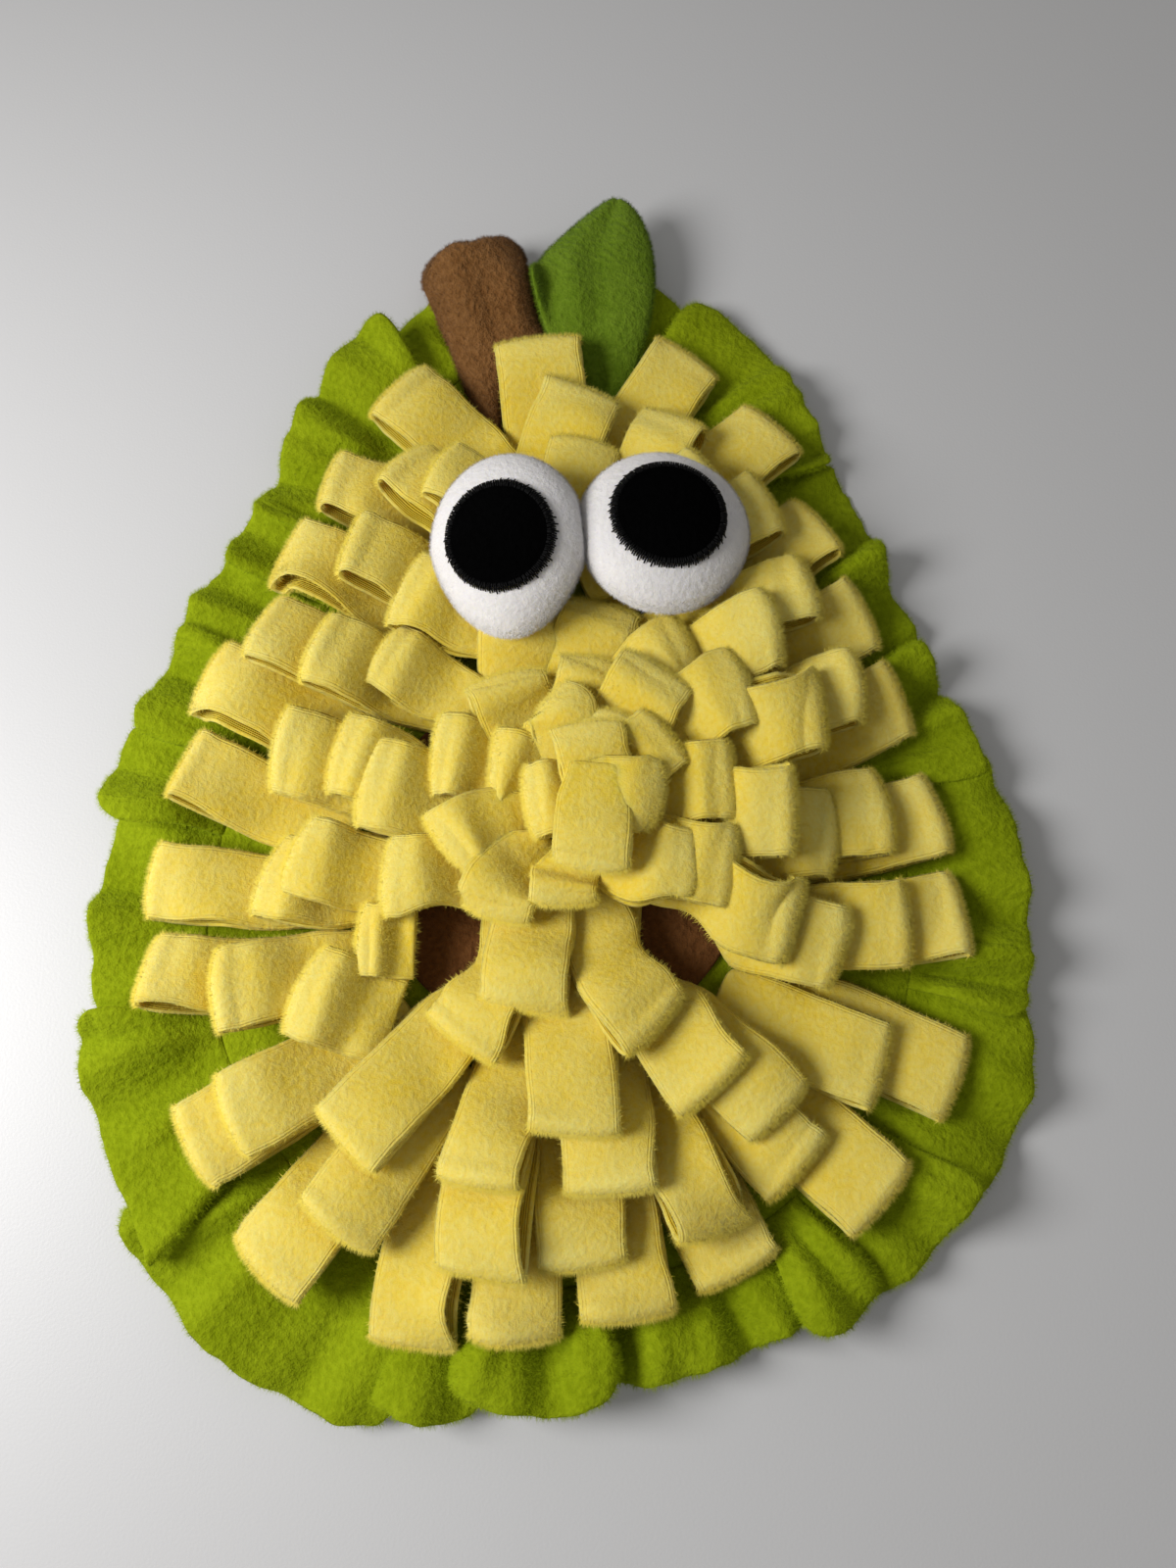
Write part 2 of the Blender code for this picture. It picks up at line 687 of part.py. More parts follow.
def lean(eye, point):
    """Turn a point of an eye so that its face looks where the eye looks."""
    lean_x, lean_down = math.radians(eye[7]), math.radians(eye[8])
    x, y, z = point
    y, z = (y * math.cos(lean_down) - z * math.sin(lean_down),
            y * math.sin(lean_down) + z * math.cos(lean_down))
    x, z = (x * math.cos(lean_x) + z * math.sin(lean_x),
            z * math.cos(lean_x) - x * math.sin(lean_x))
    return np.array([x, y, z])


def press_apart(eye, points):
    """Flatten an eye where it presses against the other one."""
    other = EYES[1] if eye is EYES[0] else EYES[0]
    here, there = np.array(eye[1:3], float), np.array(other[1:3], float)
    apart = np.linalg.norm(there - here)
    across = (there - here) / apart
    limit = apart * eye[3] / (eye[3] + other[3]) - GAP
    beyond = np.maximum((points[:, :2] - here) @ across - limit, 0)
    points[:, :2] -= beyond[:, None] * across
    return points


def make_eye(eye, pile, white, black):
    side, x, y, half_x, half_y, half_z, _, _, _, pupil = eye
    middle = np.array([x, y], float)
    ring = [middle + part * np.array([half_x, half_y]) * toward(turn)
            for part in (0, 0.35, 0.65) for turn in range(0, 360, 20)]
    bed = float(np.percentile(pile.crest(np.array(ring), 3), 95))
    centre = np.array([x, y, bed + half_z - EYE_SUNK])

    turns, rises = range(0, 360, 15), range(-75, 76, 15)
    vertices = [centre + lean(eye, eye_point(eye, 0, -90))]
    for rise in rises:
        vertices += [centre + lean(eye, eye_point(eye, turn, rise)) for turn in turns]
    vertices.append(centre + lean(eye, eye_point(eye, 0, 90)))
    vertices = press_apart(eye, np.array(vertices))
    count, last = len(turns), len(vertices) - 1
    faces = [(0, 1 + (step + 1) % count, 1 + step) for step in range(count)]
    for level in range(len(rises) - 1):
        for step in range(count):
            here, ahead = 1 + level * count, (step + 1) % count
            faces.append((here + step, here + ahead, here + count + ahead))
            faces.append((here + step, here + count + ahead, here + count + step))
    top = 1 + (len(rises) - 1) * count
    faces += [(top + step, top + (step + 1) % count, last) for step in range(count)]
    equator = 1 + (rises.index(0) + 1) * count
    under = [face for face in faces if max(face) < equator]
    level_heights = vertices[equator - count:equator, 2].copy()
    vertices[:equator, 2] = settle(pile, vertices[:equator, :2], under, range(equator),
                                   vertices[:equator, 2])
    lifted = vertices[equator - count:equator, 2] - level_heights
    for level, rise in enumerate(rises):
        if rise > 0:
            vertices[1 + level * count:1 + (level + 1) * count, 2] += lifted * max(0, 1 - rise / 60)
    add_object("eye_" + side, vertices, faces, white)
    make_pupil(eye, centre, black)


def make_pupil(eye, centre, material):
    """A round disc that follows the skin of the eye."""
    side, half_x, half_y, half_z, radius = eye[0], eye[3], eye[4], eye[5], eye[9]
    turns, rings = range(0, 360, 15), (1.0, 0.72, 0.38)

    def skin(part, turn, out):
        x = radius * part * math.cos(math.radians(turn))
        y = radius * part * math.sin(math.radians(turn))
        up = math.sqrt(1 - (x / half_x) ** 2 - (y / half_y) ** 2)
        normal = np.array([x / half_x**2, y / half_y**2, up / half_z])
        point = np.array([x, y, half_z * up]) + out * normal / np.linalg.norm(normal)
        return centre + lean(eye, point)

    vertices, faces = [], []
    for out in (PUPIL_OFFSET, PUPIL_OFFSET + PUPIL_THICK):
        vertices += [skin(part, turn, out) for part in rings for turn in turns]
        vertices.append(skin(0, 0, out))
    count = len(turns)
    layer = count * len(rings) + 1
    for base in (0, layer):
        for ring in range(len(rings) - 1):
            for step in range(count):
                here, ahead = base + ring * count, (step + 1) % count
                faces.append((here + step, here + ahead, here + count + ahead, here + count + step))
        inner = base + (len(rings) - 1) * count
        faces += [(inner + step, inner + (step + 1) % count, base + layer - 1) for step in range(count)]
    for step in range(count):
        ahead = (step + 1) % count
        faces.append((step, ahead, layer + ahead, layer + step))
    add_object("pupil_" + side, vertices, faces, material)


# ---------------------------------------------------------------------------------------------
def main():
    for obj in list(bpy.data.objects):
        bpy.data.objects.remove(obj, do_unlink=True)
    lime = cloth_material("lime_fleece", LIME)
    yellow = cloth_material("yellow_fleece", YELLOW)
    pile = Pile()
    make_base(pile, lime)
    make_frill(pile, lime)
    make_pit_patch(pile, cloth_material("pit_fleece", PIT_BROWN))
    make_pad("stem", STEM, 0.0, pile, cloth_material("stem_fleece", BROWN))
    make_pad("leaf", LEAF, LEAF_CREASE, pile, cloth_material("leaf_fleece", LEAF_GREEN))
    for row in LOOP_ROWS:
        make_row(pile, *row, yellow)
    white = cloth_material("white_plush", WHITE)
    black = cloth_material("black_velvet", BLACK)
    for eye in EYES:
        make_eye(eye, pile, white, black)


main()
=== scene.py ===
# %% [markdown]
# # A pear-shaped snuffle mat, dressed over its CAD frame
# A snuffle mat is a fleece rug: dry food is hidden between its loops, and a dog sniffs it out.
# The CAD model already fixes where everything lies. This notebook puts real cloth in its place:
# thin fleece strips that drape, a gathered frill, stuffed pads, and the pile that makes it soft.

# %% Load the fixed frame
import math

import bpy
import numpy as np
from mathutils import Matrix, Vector


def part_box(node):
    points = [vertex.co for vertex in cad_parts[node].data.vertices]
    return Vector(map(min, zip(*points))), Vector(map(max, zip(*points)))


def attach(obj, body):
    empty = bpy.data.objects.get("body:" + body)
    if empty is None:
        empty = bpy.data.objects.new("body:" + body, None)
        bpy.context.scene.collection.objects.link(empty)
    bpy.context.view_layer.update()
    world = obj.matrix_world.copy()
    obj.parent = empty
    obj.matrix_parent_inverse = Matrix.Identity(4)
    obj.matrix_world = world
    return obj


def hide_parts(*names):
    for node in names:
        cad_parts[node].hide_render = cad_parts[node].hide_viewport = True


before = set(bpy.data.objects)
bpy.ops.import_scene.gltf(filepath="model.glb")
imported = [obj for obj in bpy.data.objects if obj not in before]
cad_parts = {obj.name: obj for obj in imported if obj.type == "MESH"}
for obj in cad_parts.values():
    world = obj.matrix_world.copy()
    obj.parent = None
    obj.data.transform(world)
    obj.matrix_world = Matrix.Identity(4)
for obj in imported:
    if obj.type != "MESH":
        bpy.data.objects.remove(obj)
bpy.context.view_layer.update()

print("CAD nodes:", sorted(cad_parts))

# %% [markdown]
# ## Sizes
# Cloth sizes are easier to think about in millimetres, so every table here is in millimetres.
# Blender works in metres: `MM` turns one into the other when a mesh is made.

# %% Sizes that several pieces share
MM = 0.001
FLEECE = 2.0                    # one ply of fleece
BASE_THICK = 3.0                # the heavier cloth under everything
GAP = 0.3                       # kept between pieces that touch
PEAR_LOWER = ((2, -22), 138)    # the pear is two circles and the straight sides between them
PEAR_UPPER = ((-5, 165), 62)
chance = np.random.default_rng(11)      # one seeded source, so each run draws the same numbers


# %% [markdown]
# ## Small helpers
# An operator acts on everything that is selected, so each step starts by selecting one object.
# A modifier is applied as soon as it is made: what is left is plain geometry, easy to measure.

# %% Helpers for objects and modifiers
def select_none():
    for other in bpy.context.selected_objects:
        other.select_set(False)


def only(obj):
    """Select one object and nothing else."""
    select_none()
    obj.select_set(True)
    bpy.context.view_layer.objects.active = obj
    return obj


def apply_modifier(obj, kind, **settings):
    """Add one modifier, set it, and apply it."""
    only(obj)
    modifier = obj.modifiers.new(kind.lower(), kind)
    for name, value in settings.items():
        setattr(modifier, name, value)
    bpy.ops.object.modifier_apply(modifier=modifier.name)


def subdivide_smooth(obj):
    apply_modifier(obj, "SUBSURF", levels=1, render_levels=1)


def thicken(obj, thickness, **settings):
    """Give a sheet its thickness, half to each side, and round it."""
    apply_modifier(obj, "SOLIDIFY", thickness=thickness * MM, offset=0, **settings)
    subdivide_smooth(obj)


def cloth_object(name, points, faces, values=None):
    """A mesh object from points in millimetres. values holds one list of numbers per attribute."""
    mesh = bpy.data.meshes.new(name)
    mesh.from_pydata((np.asarray(points, float) * MM).tolist(), [], [list(face) for face in faces])
    for label, numbers in (values or {}).items():
        attribute = mesh.attributes.new(label, "FLOAT", "POINT")
        attribute.data.foreach_set("value", np.asarray(numbers, np.float32))
    obj = bpy.data.objects.new(name, mesh)
    bpy.context.collection.objects.link(obj)
    return only(obj)


def grid_faces(rows, columns, first=0, rows_meet=False, columns_meet=False):
    """Faces of a grid of points, numbered row by row. Its ends can meet, as in a ring."""
    faces = []
    for row in range(rows if rows_meet else rows - 1):
        here, there = first + row * columns, first + (row + 1) % rows * columns
        for column in range(columns if columns_meet else columns - 1):
            ahead = (column + 1) % columns
            faces.append((here + column, there + column, there + ahead, here + ahead))
    return faces


def ring_faces(rings, count, first=0):
    """Faces between rings of points that shrink towards one last point in the middle."""
    inner, middle = first + (rings - 1) * count, first + rings * count
    return grid_faces(rings, count, first, columns_meet=True) + [
        (inner + step, middle, inner + (step + 1) % count) for step in range(count)]


def turned_over(faces):
    """The same faces with their fronts on the other side."""
    return [(face[0], *face[:0:-1]) for face in faces]


def finish_piece(obj, slot, *nodes):
    """Smooth shading, and the piece's place in the frame."""
    obj.data.shade_smooth()
    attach(obj, "root")
    if nodes:
        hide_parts(*nodes)
    triangles = sum(len(polygon.vertices) - 2 for polygon in obj.data.polygons)
    low, high = box_in_mm(obj)
    print(f"{obj.name}: {triangles} triangles, z {low[2]:.1f} to {high[2]:.1f} mm")


def box_in_mm(obj):
    points = np.array([vertex.co for vertex in obj.data.vertices]) / MM
    return points.min(0), points.max(0)


# %% [markdown]
# ## The camera first
# The mat lies on a table, and the photograph looks down on it from just below the middle, tilted
# by 15 degrees. The lens is wide, so near things look larger. Setting the camera first means
# that each piece can be compared with the photograph as soon as it is made.

# %% Camera
camera_data = bpy.data.cameras.new("camera")
camera_data.sensor_fit = "VERTICAL"
camera_data.sensor_height = 36
camera_data.lens = 27
camera = bpy.data.objects.new("camera", camera_data)
bpy.context.collection.objects.link(camera)
camera.location = (0.0127, -0.0929, 0.454)
look_at = Vector((0.0127, 0.0287, 0.0))
camera.rotation_euler = (look_at - camera.location).to_track_quat("-Z", "Y").to_euler()
bpy.context.scene.camera = camera
print("camera height above the table:", round(camera.location.z, 3), "m")


# %% [markdown]
# ## Table and light
# The mat lies on a pale grey table. The light is large and soft and comes from the left, so
# shadows fall to the right and are blurred. A weak fill from high in front keeps the folds open.
# The lamp at the right has 0.2 percent of the power of the first, so it adds hardly anything.

# %% Table and lamps
def add_lamp(name, place, target, size, power, colour=(1, 1, 1)):
    data = bpy.data.lights.new(name, "AREA")
    data.shape = "DISK"
    data.size = size
    data.energy = power
    data.color = colour
    lamp = bpy.data.objects.new(name, data)
    lamp.location = place
    lamp.rotation_euler = (Vector(target) - Vector(place)).to_track_quat("-Z", "Y").to_euler()
    bpy.context.collection.objects.link(lamp)


def make_table():
    select_none()
    bpy.ops.mesh.primitive_plane_add(size=6, location=(0, 0, 0))
    table = bpy.context.active_object
    table.name = "table"
    material = bpy.data.materials.new("table_top")
    material.use_nodes = True
    nodes, links = material.node_tree.nodes, material.node_tree.links
    shader = nodes["Principled BSDF"]
    shader.inputs["Base Color"].default_value = (0.66, 0.66, 0.67, 1)
    shader.inputs["Roughness"].default_value = 0.42
    place = nodes.new("ShaderNodeTexCoord")
    grain = nodes.new("ShaderNodeTexNoise")
    grain.inputs["Scale"].default_value = 900
    grain.inputs["Detail"].default_value = 2
    bump = nodes.new("ShaderNodeBump")
    bump.inputs["Strength"].default_value = 0.25
    bump.inputs["Distance"].default_value = 0.0002
    links.new(place.outputs["Object"], grain.inputs["Vector"])
    links.new(grain.outputs["Fac"], bump.inputs["Height"])
    links.new(bump.outputs["Normal"], shader.inputs["Normal"])
    table.data.materials.append(material)


make_table()
add_lamp("window", (-0.58, -0.05, 0.50), (0.0, -0.02, 0), 0.40, 5.35, (1.0, 0.99, 0.975))
add_lamp("fill", (-0.25, -0.5, 1.3), (0, 0, 0), 1.2, 0.38, (0.98, 0.98, 1.0))
add_lamp("ceiling", (0.50, -0.36, 0.80), (0.25, -0.12, 0), 0.12, 0.01)
world = bpy.data.worlds.new("room")
bpy.context.scene.world = world
world.use_nodes = True
world.node_tree.nodes["Background"].inputs["Color"].default_value = (1.0, 0.985, 0.955, 1)
world.node_tree.nodes["Background"].inputs["Strength"].default_value = 0.245
bpy.context.scene.view_settings.view_transform = "Standard"
print("lamps: window, fill, ceiling")


# %% [markdown]
# ## What fleece looks like
# Fleece is a knit whose surface is brushed into a short pile. The pile gathers in small clumps
# 2 to 3 mm across with fine fibres on them. The tips catch the light and the ground between them
# lies in their shade. The pattern paints this into the colour: a painted highlight where the pile
# stands higher, and painted shade in the ground between. One node group makes this pattern for
# every fleece here, and each material sets its own colours and clump size. The shader itself
# stays in the material.

# %% Fleece pattern as a node group
FIBRE_HEIGHT = 0.45         # height of the fibres, as a share of the clumps' height


def new_group(name, inputs, outputs):
    group = bpy.data.node_groups.new(name, "ShaderNodeTree")
    for label, kind in inputs:
        group.interface.new_socket(name=label, in_out="INPUT", socket_type="NodeSocket" + kind)
    for label, kind in outputs:
        group.interface.new_socket(name=label, in_out="OUTPUT", socket_type="NodeSocket" + kind)
    return group, group.nodes.new("NodeGroupInput"), group.nodes.new("NodeGroupOutput")


def add_node(tree, kind, settings=None, **values):
    """A node with its properties and its unlinked sockets set."""
    node = tree.nodes.new("ShaderNode" + kind)
    for name, value in (settings or {}).items():
        setattr(node, name, value)
    for name, value in values.items():
        node.inputs[name.replace("_", " ")].default_value = value
    return node


def arithmetic(tree, operation, first, second, clamp=False):
    """The value of an operation on two sockets, or on a socket and a number."""
    node = add_node(tree, "Math", {"operation": operation, "use_clamp": clamp})
    for socket, value in zip(node.inputs, (first, second)):
        if isinstance(value, (int, float)):
            socket.default_value = value
        else:
            tree.links.new(value, socket)
    return node.outputs[0]


def spread(tree, value, low, high, to_low, to_high, interpolation="LINEAR"):
    """A value carried from one range to another."""
    node = add_node(tree, "MapRange", {"interpolation_type": interpolation},
                    From_Min=low, From_Max=high, To_Min=to_low, To_Max=to_high)
    tree.links.new(value, node.inputs["Value"])
    return node.outputs["Result"]


def make_fleece_pattern():
    tree, given, out = new_group(
        "fleece_pile",
        [("Vector", "Vector"), ("Ground", "Color"), ("Pile", "Color"), ("Clumps", "Float"),
         ("Fibres", "Float"), ("Paleness", "Float")],
        [("Color", "Color"), ("Height", "Float")])
    link = tree.links.new
    clump = add_node(tree, "TexNoise", Detail=1.5, Roughness=0.5)
    fibre = add_node(tree, "TexNoise", Detail=2.0, Roughness=0.6)
    patch = add_node(tree, "TexNoise", Scale=45.0, Detail=1.0)
    link(given.outputs["Vector"], clump.inputs["Vector"])
    link(given.outputs["Clumps"], clump.inputs["Scale"])
    link(given.outputs["Vector"], fibre.inputs["Vector"])
    link(given.outputs["Fibres"], fibre.inputs["Scale"])
    link(given.outputs["Vector"], patch.inputs["Vector"])
    # painted highlight and shade: the noises that raise the bump also turn the colour paler where
    # the pile stands higher, and deeper between
    tips = spread(tree, clump.outputs["Fac"], 0.25, 0.75, 0.1, 0.45, "SMOOTHSTEP")
    fine = spread(tree, fibre.outputs["Fac"], 0.3, 0.7, -0.03, 0.08)
    broad = spread(tree, patch.outputs["Fac"], 0.3, 0.7, -0.12, 0.14)
    share = arithmetic(tree, "ADD", arithmetic(tree, "ADD", tips, fine), broad)
    # painted highlight: a share from 0 to 1, taken from a mesh attribute, turns the colour further
    # towards the pale pile
    share = arithmetic(tree, "ADD", share, given.outputs["Paleness"], clamp=True)
    blend = add_node(tree, "Mix", {"data_type": "RGBA"})
    link(share, blend.inputs["Factor"])
    link(given.outputs["Ground"], blend.inputs[6])
    link(given.outputs["Pile"], blend.inputs[7])
    link(blend.outputs[2], out.inputs["Color"])
    fine_height = arithmetic(tree, "MULTIPLY", fibre.outputs["Fac"], FIBRE_HEIGHT)
    link(arithmetic(tree, "ADD", clump.outputs["Fac"], fine_height), out.inputs["Height"])
    return tree


def make_rib_pattern():
    """Fine parallel ribs from a place across the strip, in metres."""
    tree, given, out = new_group("knit_ribs", [("Across", "Float"), ("Pitch", "Float")],
                                 [("Height", "Float")])
    turns = arithmetic(tree, "DIVIDE", given.outputs["Across"], given.outputs["Pitch"])
    wave = add_node(tree, "Math", {"operation": "SINE"})
    tree.links.new(arithmetic(tree, "MULTIPLY", turns, 2 * math.pi), wave.inputs[0])
    tree.links.new(wave.outputs[0], out.inputs["Height"])
    return tree


fleece_pile = make_fleece_pattern()
knit_ribs = make_rib_pattern()
print("node groups:", fleece_pile.name, knit_ribs.name)


# %% [markdown]
# ## One material for each cloth
# Sheen is light that the standing fibres throw back at a low angle. It is the same all over a
# cloth, so its weight is set on the shader itself, while colour and bump come from the group.

# %% Fleece materials
RIB_PITCH = 1.1             # from one rib of the knit to the next


def make_fleece(name, ground, pile_colour, clumps, fibres, depth, sheen, tint, paleness=None,
                soft=0.0, ribs=None):
    material = bpy.data.materials.new(name)
    material.use_nodes = True
    tree = material.node_tree
    shader = tree.nodes["Principled BSDF"]
    shader.inputs["Roughness"].default_value = 0.92
    shader.inputs["Specular IOR Level"].default_value = 0.1
    shader.inputs["Sheen Weight"].default_value = sheen
    shader.inputs["Sheen Roughness"].default_value = 0.45
    shader.inputs["Sheen Tint"].default_value = tint
    place = add_node(tree, "TexCoord")
    pattern = tree.nodes.new("ShaderNodeGroup")
    pattern.node_tree = fleece_pile
    pattern.inputs["Ground"].default_value = ground
    pattern.inputs["Pile"].default_value = pile_colour
    pattern.inputs["Clumps"].default_value = clumps
    pattern.inputs["Fibres"].default_value = fibres
    pattern.inputs["Paleness"].default_value = 0.0
    link = tree.links.new
    link(place.outputs["Object"], pattern.inputs["Vector"])
    # painted highlight: the mesh's share from 0 to 1 is spread over the given range and turns the
    # colour paler
    if paleness:
        value = add_node(tree, "Attribute", {"attribute_name": "paleness"})
        link(spread(tree, value.outputs["Fac"], 0, 1, *paleness), pattern.inputs["Paleness"])
    bump = add_node(tree, "Bump", Strength=0.8, Distance=depth)
    link(pattern.outputs["Height"], bump.inputs["Height"])
    link(pattern.outputs["Color"], shader.inputs["Base Color"])
    if soft:
        shader.inputs["Subsurface Weight"].default_value = soft
        shader.inputs["Subsurface Radius"].default_value = (1.0, 0.8, 0.3)
        shader.inputs["Subsurface Scale"].default_value = 0.002
    if ribs:
        # ribs = (depth, only near the edges of the strip)
        depth_of_ribs, edges_only = ribs
        place_on_strip = add_node(tree, "UVMap", {"uv_map": "strip"})
        split = add_node(tree, "SeparateXYZ")
        rib = tree.nodes.new("ShaderNodeGroup")
        rib.node_tree = knit_ribs
        rib.inputs["Pitch"].default_value = RIB_PITCH * MM
        link(place_on_strip.outputs["UV"], split.inputs[0])
        link(split.outputs["X"], rib.inputs["Across"])
        height = rib.outputs["Height"]
        if edges_only:
            side = add_node(tree, "Attribute", {"attribute_name": "side"})
            near = spread(tree, side.outputs["Fac"], 0.82, 0.93, 0, 1, "SMOOTHSTEP")
            height = arithmetic(tree, "MULTIPLY", near, height)
        lines = add_node(tree, "Bump", Strength=0.9, Distance=depth_of_ribs)
        link(height, lines.inputs["Height"])
        link(bump.outputs["Normal"], lines.inputs["Normal"])
        bump = lines
    link(bump.outputs["Normal"], shader.inputs["Normal"])
    return material


# (0.0, 0.4) is the painted highlight on the strips: paler towards their folds, which stand up in
# the light, and deeper towards the seams, which lie in shade under the next row
yellow_fleece = make_fleece("yellow_fleece_pile", (0.78, 0.57, 0.035, 1), (0.80, 0.71, 0.22, 1),
                            480, 2000, 0.0006, 0.15, (1.0, 0.95, 0.6, 1), (0.0, 0.4),
                            soft=0.35, ribs=(0.00012, True))
yellow_inside = make_fleece("yellow_fleece_inside", (0.84, 0.60, 0.03, 1), (0.86, 0.70, 0.12, 1),
                            700, 2600, 0.0004, 0.1, (1.0, 0.96, 0.75, 1),
                            soft=0.4, ribs=(0.0005, False))
yellow_nap = make_fleece("yellow_fleece_nap", (0.82, 0.645, 0.06, 1), (0.84, 0.75, 0.21, 1),
                         520, 1900, 0.0002, 0.2, (1.0, 0.95, 0.65, 1))
lime_fleece = make_fleece("lime_fleece_pile", (0.20, 0.26, 0.001, 1), (0.39, 0.48, 0.010, 1),
                          400, 1500, 0.0013, 0.05, (0.7, 0.85, 0.2, 1), soft=0.15)
lime_nap = make_fleece("lime_fleece_nap", (0.25, 0.325, 0.002, 1), (0.40, 0.50, 0.014, 1),
                       400, 1500, 0.0002, 0.06, (0.7, 0.85, 0.2, 1))
leaf_fleece = make_fleece("leaf_fleece_pile", (0.11, 0.19, 0.006, 1), (0.22, 0.33, 0.025, 1),
                          420, 1500, 0.0014, 0.15, (0.6, 0.85, 0.4, 1), soft=0.1)
stem_fleece = make_fleece("stem_fleece_pile", (0.16, 0.065, 0.016, 1), (0.36, 0.18, 0.062, 1),
                          420, 1500, 0.0026, 0.15, (0.9, 0.7, 0.5, 1), soft=0.1)
pit_fleece = make_fleece("pit_fleece_pile", (0.12, 0.045, 0.012, 1), (0.26, 0.11, 0.034, 1),
                         420, 1500, 0.0018, 0.12, (0.9, 0.7, 0.5, 1))
white_plush = make_fleece("white_plush_pile", (0.78, 0.76, 0.76, 1), (0.90, 0.88, 0.87, 1),
                          420, 1900, 0.0006, 0.3, (1, 1, 1, 1), soft=0.1)
black_velvet = make_fleece("black_velvet_pile", (0.0004, 0.0004, 0.0004, 1),
                           (0.0015, 0.0015, 0.0016, 1), 420, 2200, 0.0012, 0.0,
                           (0.4, 0.4, 0.42, 1))
black_thread = make_fleece("black_satin_thread", (0.0006, 0.0006, 0.0007, 1),
                           (0.003, 0.003, 0.0033, 1), 900, 3000, 0.0006, 0.0, (1, 1, 1, 1))
black_velvet.node_tree.nodes["Principled BSDF"].inputs["Specular IOR Level"].default_value = 0.02
black_thread.node_tree.nodes["Principled BSDF"].inputs["Roughness"].default_value = 0.5
black_thread.node_tree.nodes["Principled BSDF"].inputs["Specular IOR Level"].default_value = 0.12
print("materials:", len(bpy.data.materials))


# %% [markdown]
# ## A pear-shaped seam line
# The base and each row of loops follow the same kind of line: two circles of different size and
# the straight sides between them. Walking round it with a turning normal gives the points.

# %% Seam line
def turn_left(vector):
    return np.array([-vector[1], vector[0]])


def toward(degrees):
    return np.array([math.cos(math.radians(degrees)), math.sin(math.radians(degrees))])


def smooth_step(value):
    value = np.clip(value, 0, 1)
    return value * value * (3 - 2 * value)


class SeamLine:
    """Two circles and the straight sides between them, measured clockwise from the top."""

    def __init__(self, lower, upper):
        circles = [(np.array(centre, float), radius) for centre, radius in (lower, upper)]
        points = []
        for step in range(721):
            normal = toward(90 - step / 2)
            centre, radius = max(circles, key=lambda circle: circle[0] @ normal + circle[1])
            points.append(centre + radius * normal)
        self.points = np.array(points)
        steps = np.linalg.norm(np.diff(self.points, axis=0), axis=1)
        self.places = np.concatenate([[0], np.cumsum(steps)])
        self.length = self.places[-1]

    def at(self, place):
        """The point at a place along the line, and the outward direction there."""
        def point(p):
            p = p % self.length
            return np.array([np.interp(p, self.places, self.points[:, axis]) for axis in (0, 1)])
        ahead = point(place + 0.5) - point(place - 0.5)
        return point(place), turn_left(ahead / np.linalg.norm(ahead))

    def root_for(self, tip, heading):
        """Where a strip that ends at tip, and points along heading, leaves this line."""
        places = np.arange(0, self.length, 0.5)
        points = np.array([self.at(place)[0] for place in places])
        back = (tip - points) @ heading
        aside = (tip - points) @ turn_left(heading)
        score = np.where(back > 5, np.hypot(back, 1.5 * aside), np.inf)
        return places[int(score.argmin())]


base_line = SeamLine(PEAR_LOWER, PEAR_UPPER)
print("the base is", round(base_line.length), "mm round")


# %% [markdown]
# ## What lies under the next strip
# Cloth lies on what was laid before it. A height map, one number per square millimetre, is a
# simple record of that: each finished piece is stamped into it, and the next one is draped over
# the numbers. A physics simulation would have to settle 92 strips against each other instead.

# %% Height map of the pile
class Pile:
    corner = np.array([-220.0, -240.0])

    def __init__(self):
        self.top = np.zeros((440, 560))

    def cells(self, plan):
        return tuple((plan - self.corner).astype(int).T)

    def height(self, plan):
        return self.top[self.cells(plan)]

    def crest(self, plan, reach):
        """The highest point within a reach of each place."""
        best = self.height(plan)
        for ring in (0.5, 1.0):
            for turn in range(0, 360, 45):
                best = np.maximum(best, self.height(plan + ring * reach * toward(turn)))
        return best

    def stamp(self, grid):
        """Lay down a grid of points (rows, columns, 3)."""
        s, t = np.meshgrid(np.linspace(0, 1, 9), np.linspace(0, 1, 9))
        s, t = s.ravel()[:, None, None, None], t.ravel()[:, None, None, None]
        cloud = ((1 - s) * (1 - t) * grid[:-1, :-1] + s * (1 - t) * grid[1:, :-1]
                 + (1 - s) * t * grid[:-1, 1:] + s * t * grid[1:, 1:]).reshape(-1, 3)
        np.maximum.at(self.top, self.cells(cloud[:, :2]), cloud[:, 2])


pile = Pile()


# %% [markdown]
# ## Base cloth
# The base is one flat piece of green fleece. Only slivers of it show between the loops, and its
# underside shows when the mat is turned over. Rings of points that shrink towards the middle
# give a clean grid, and a low ripple keeps it from looking like plastic.

# %% Base cloth
BASE_RINGS = (1.0, 0.97, 0.9, 0.8, 0.68, 0.55, 0.42, 0.3, 0.18, 0.08)
BASE_ROUND = 160
BASE_CENTRE = np.array([0.0, 40.0])
BASE_SHRINK = 1 - 0.8 / 150         # the rim stays about 0.8 mm inside its line


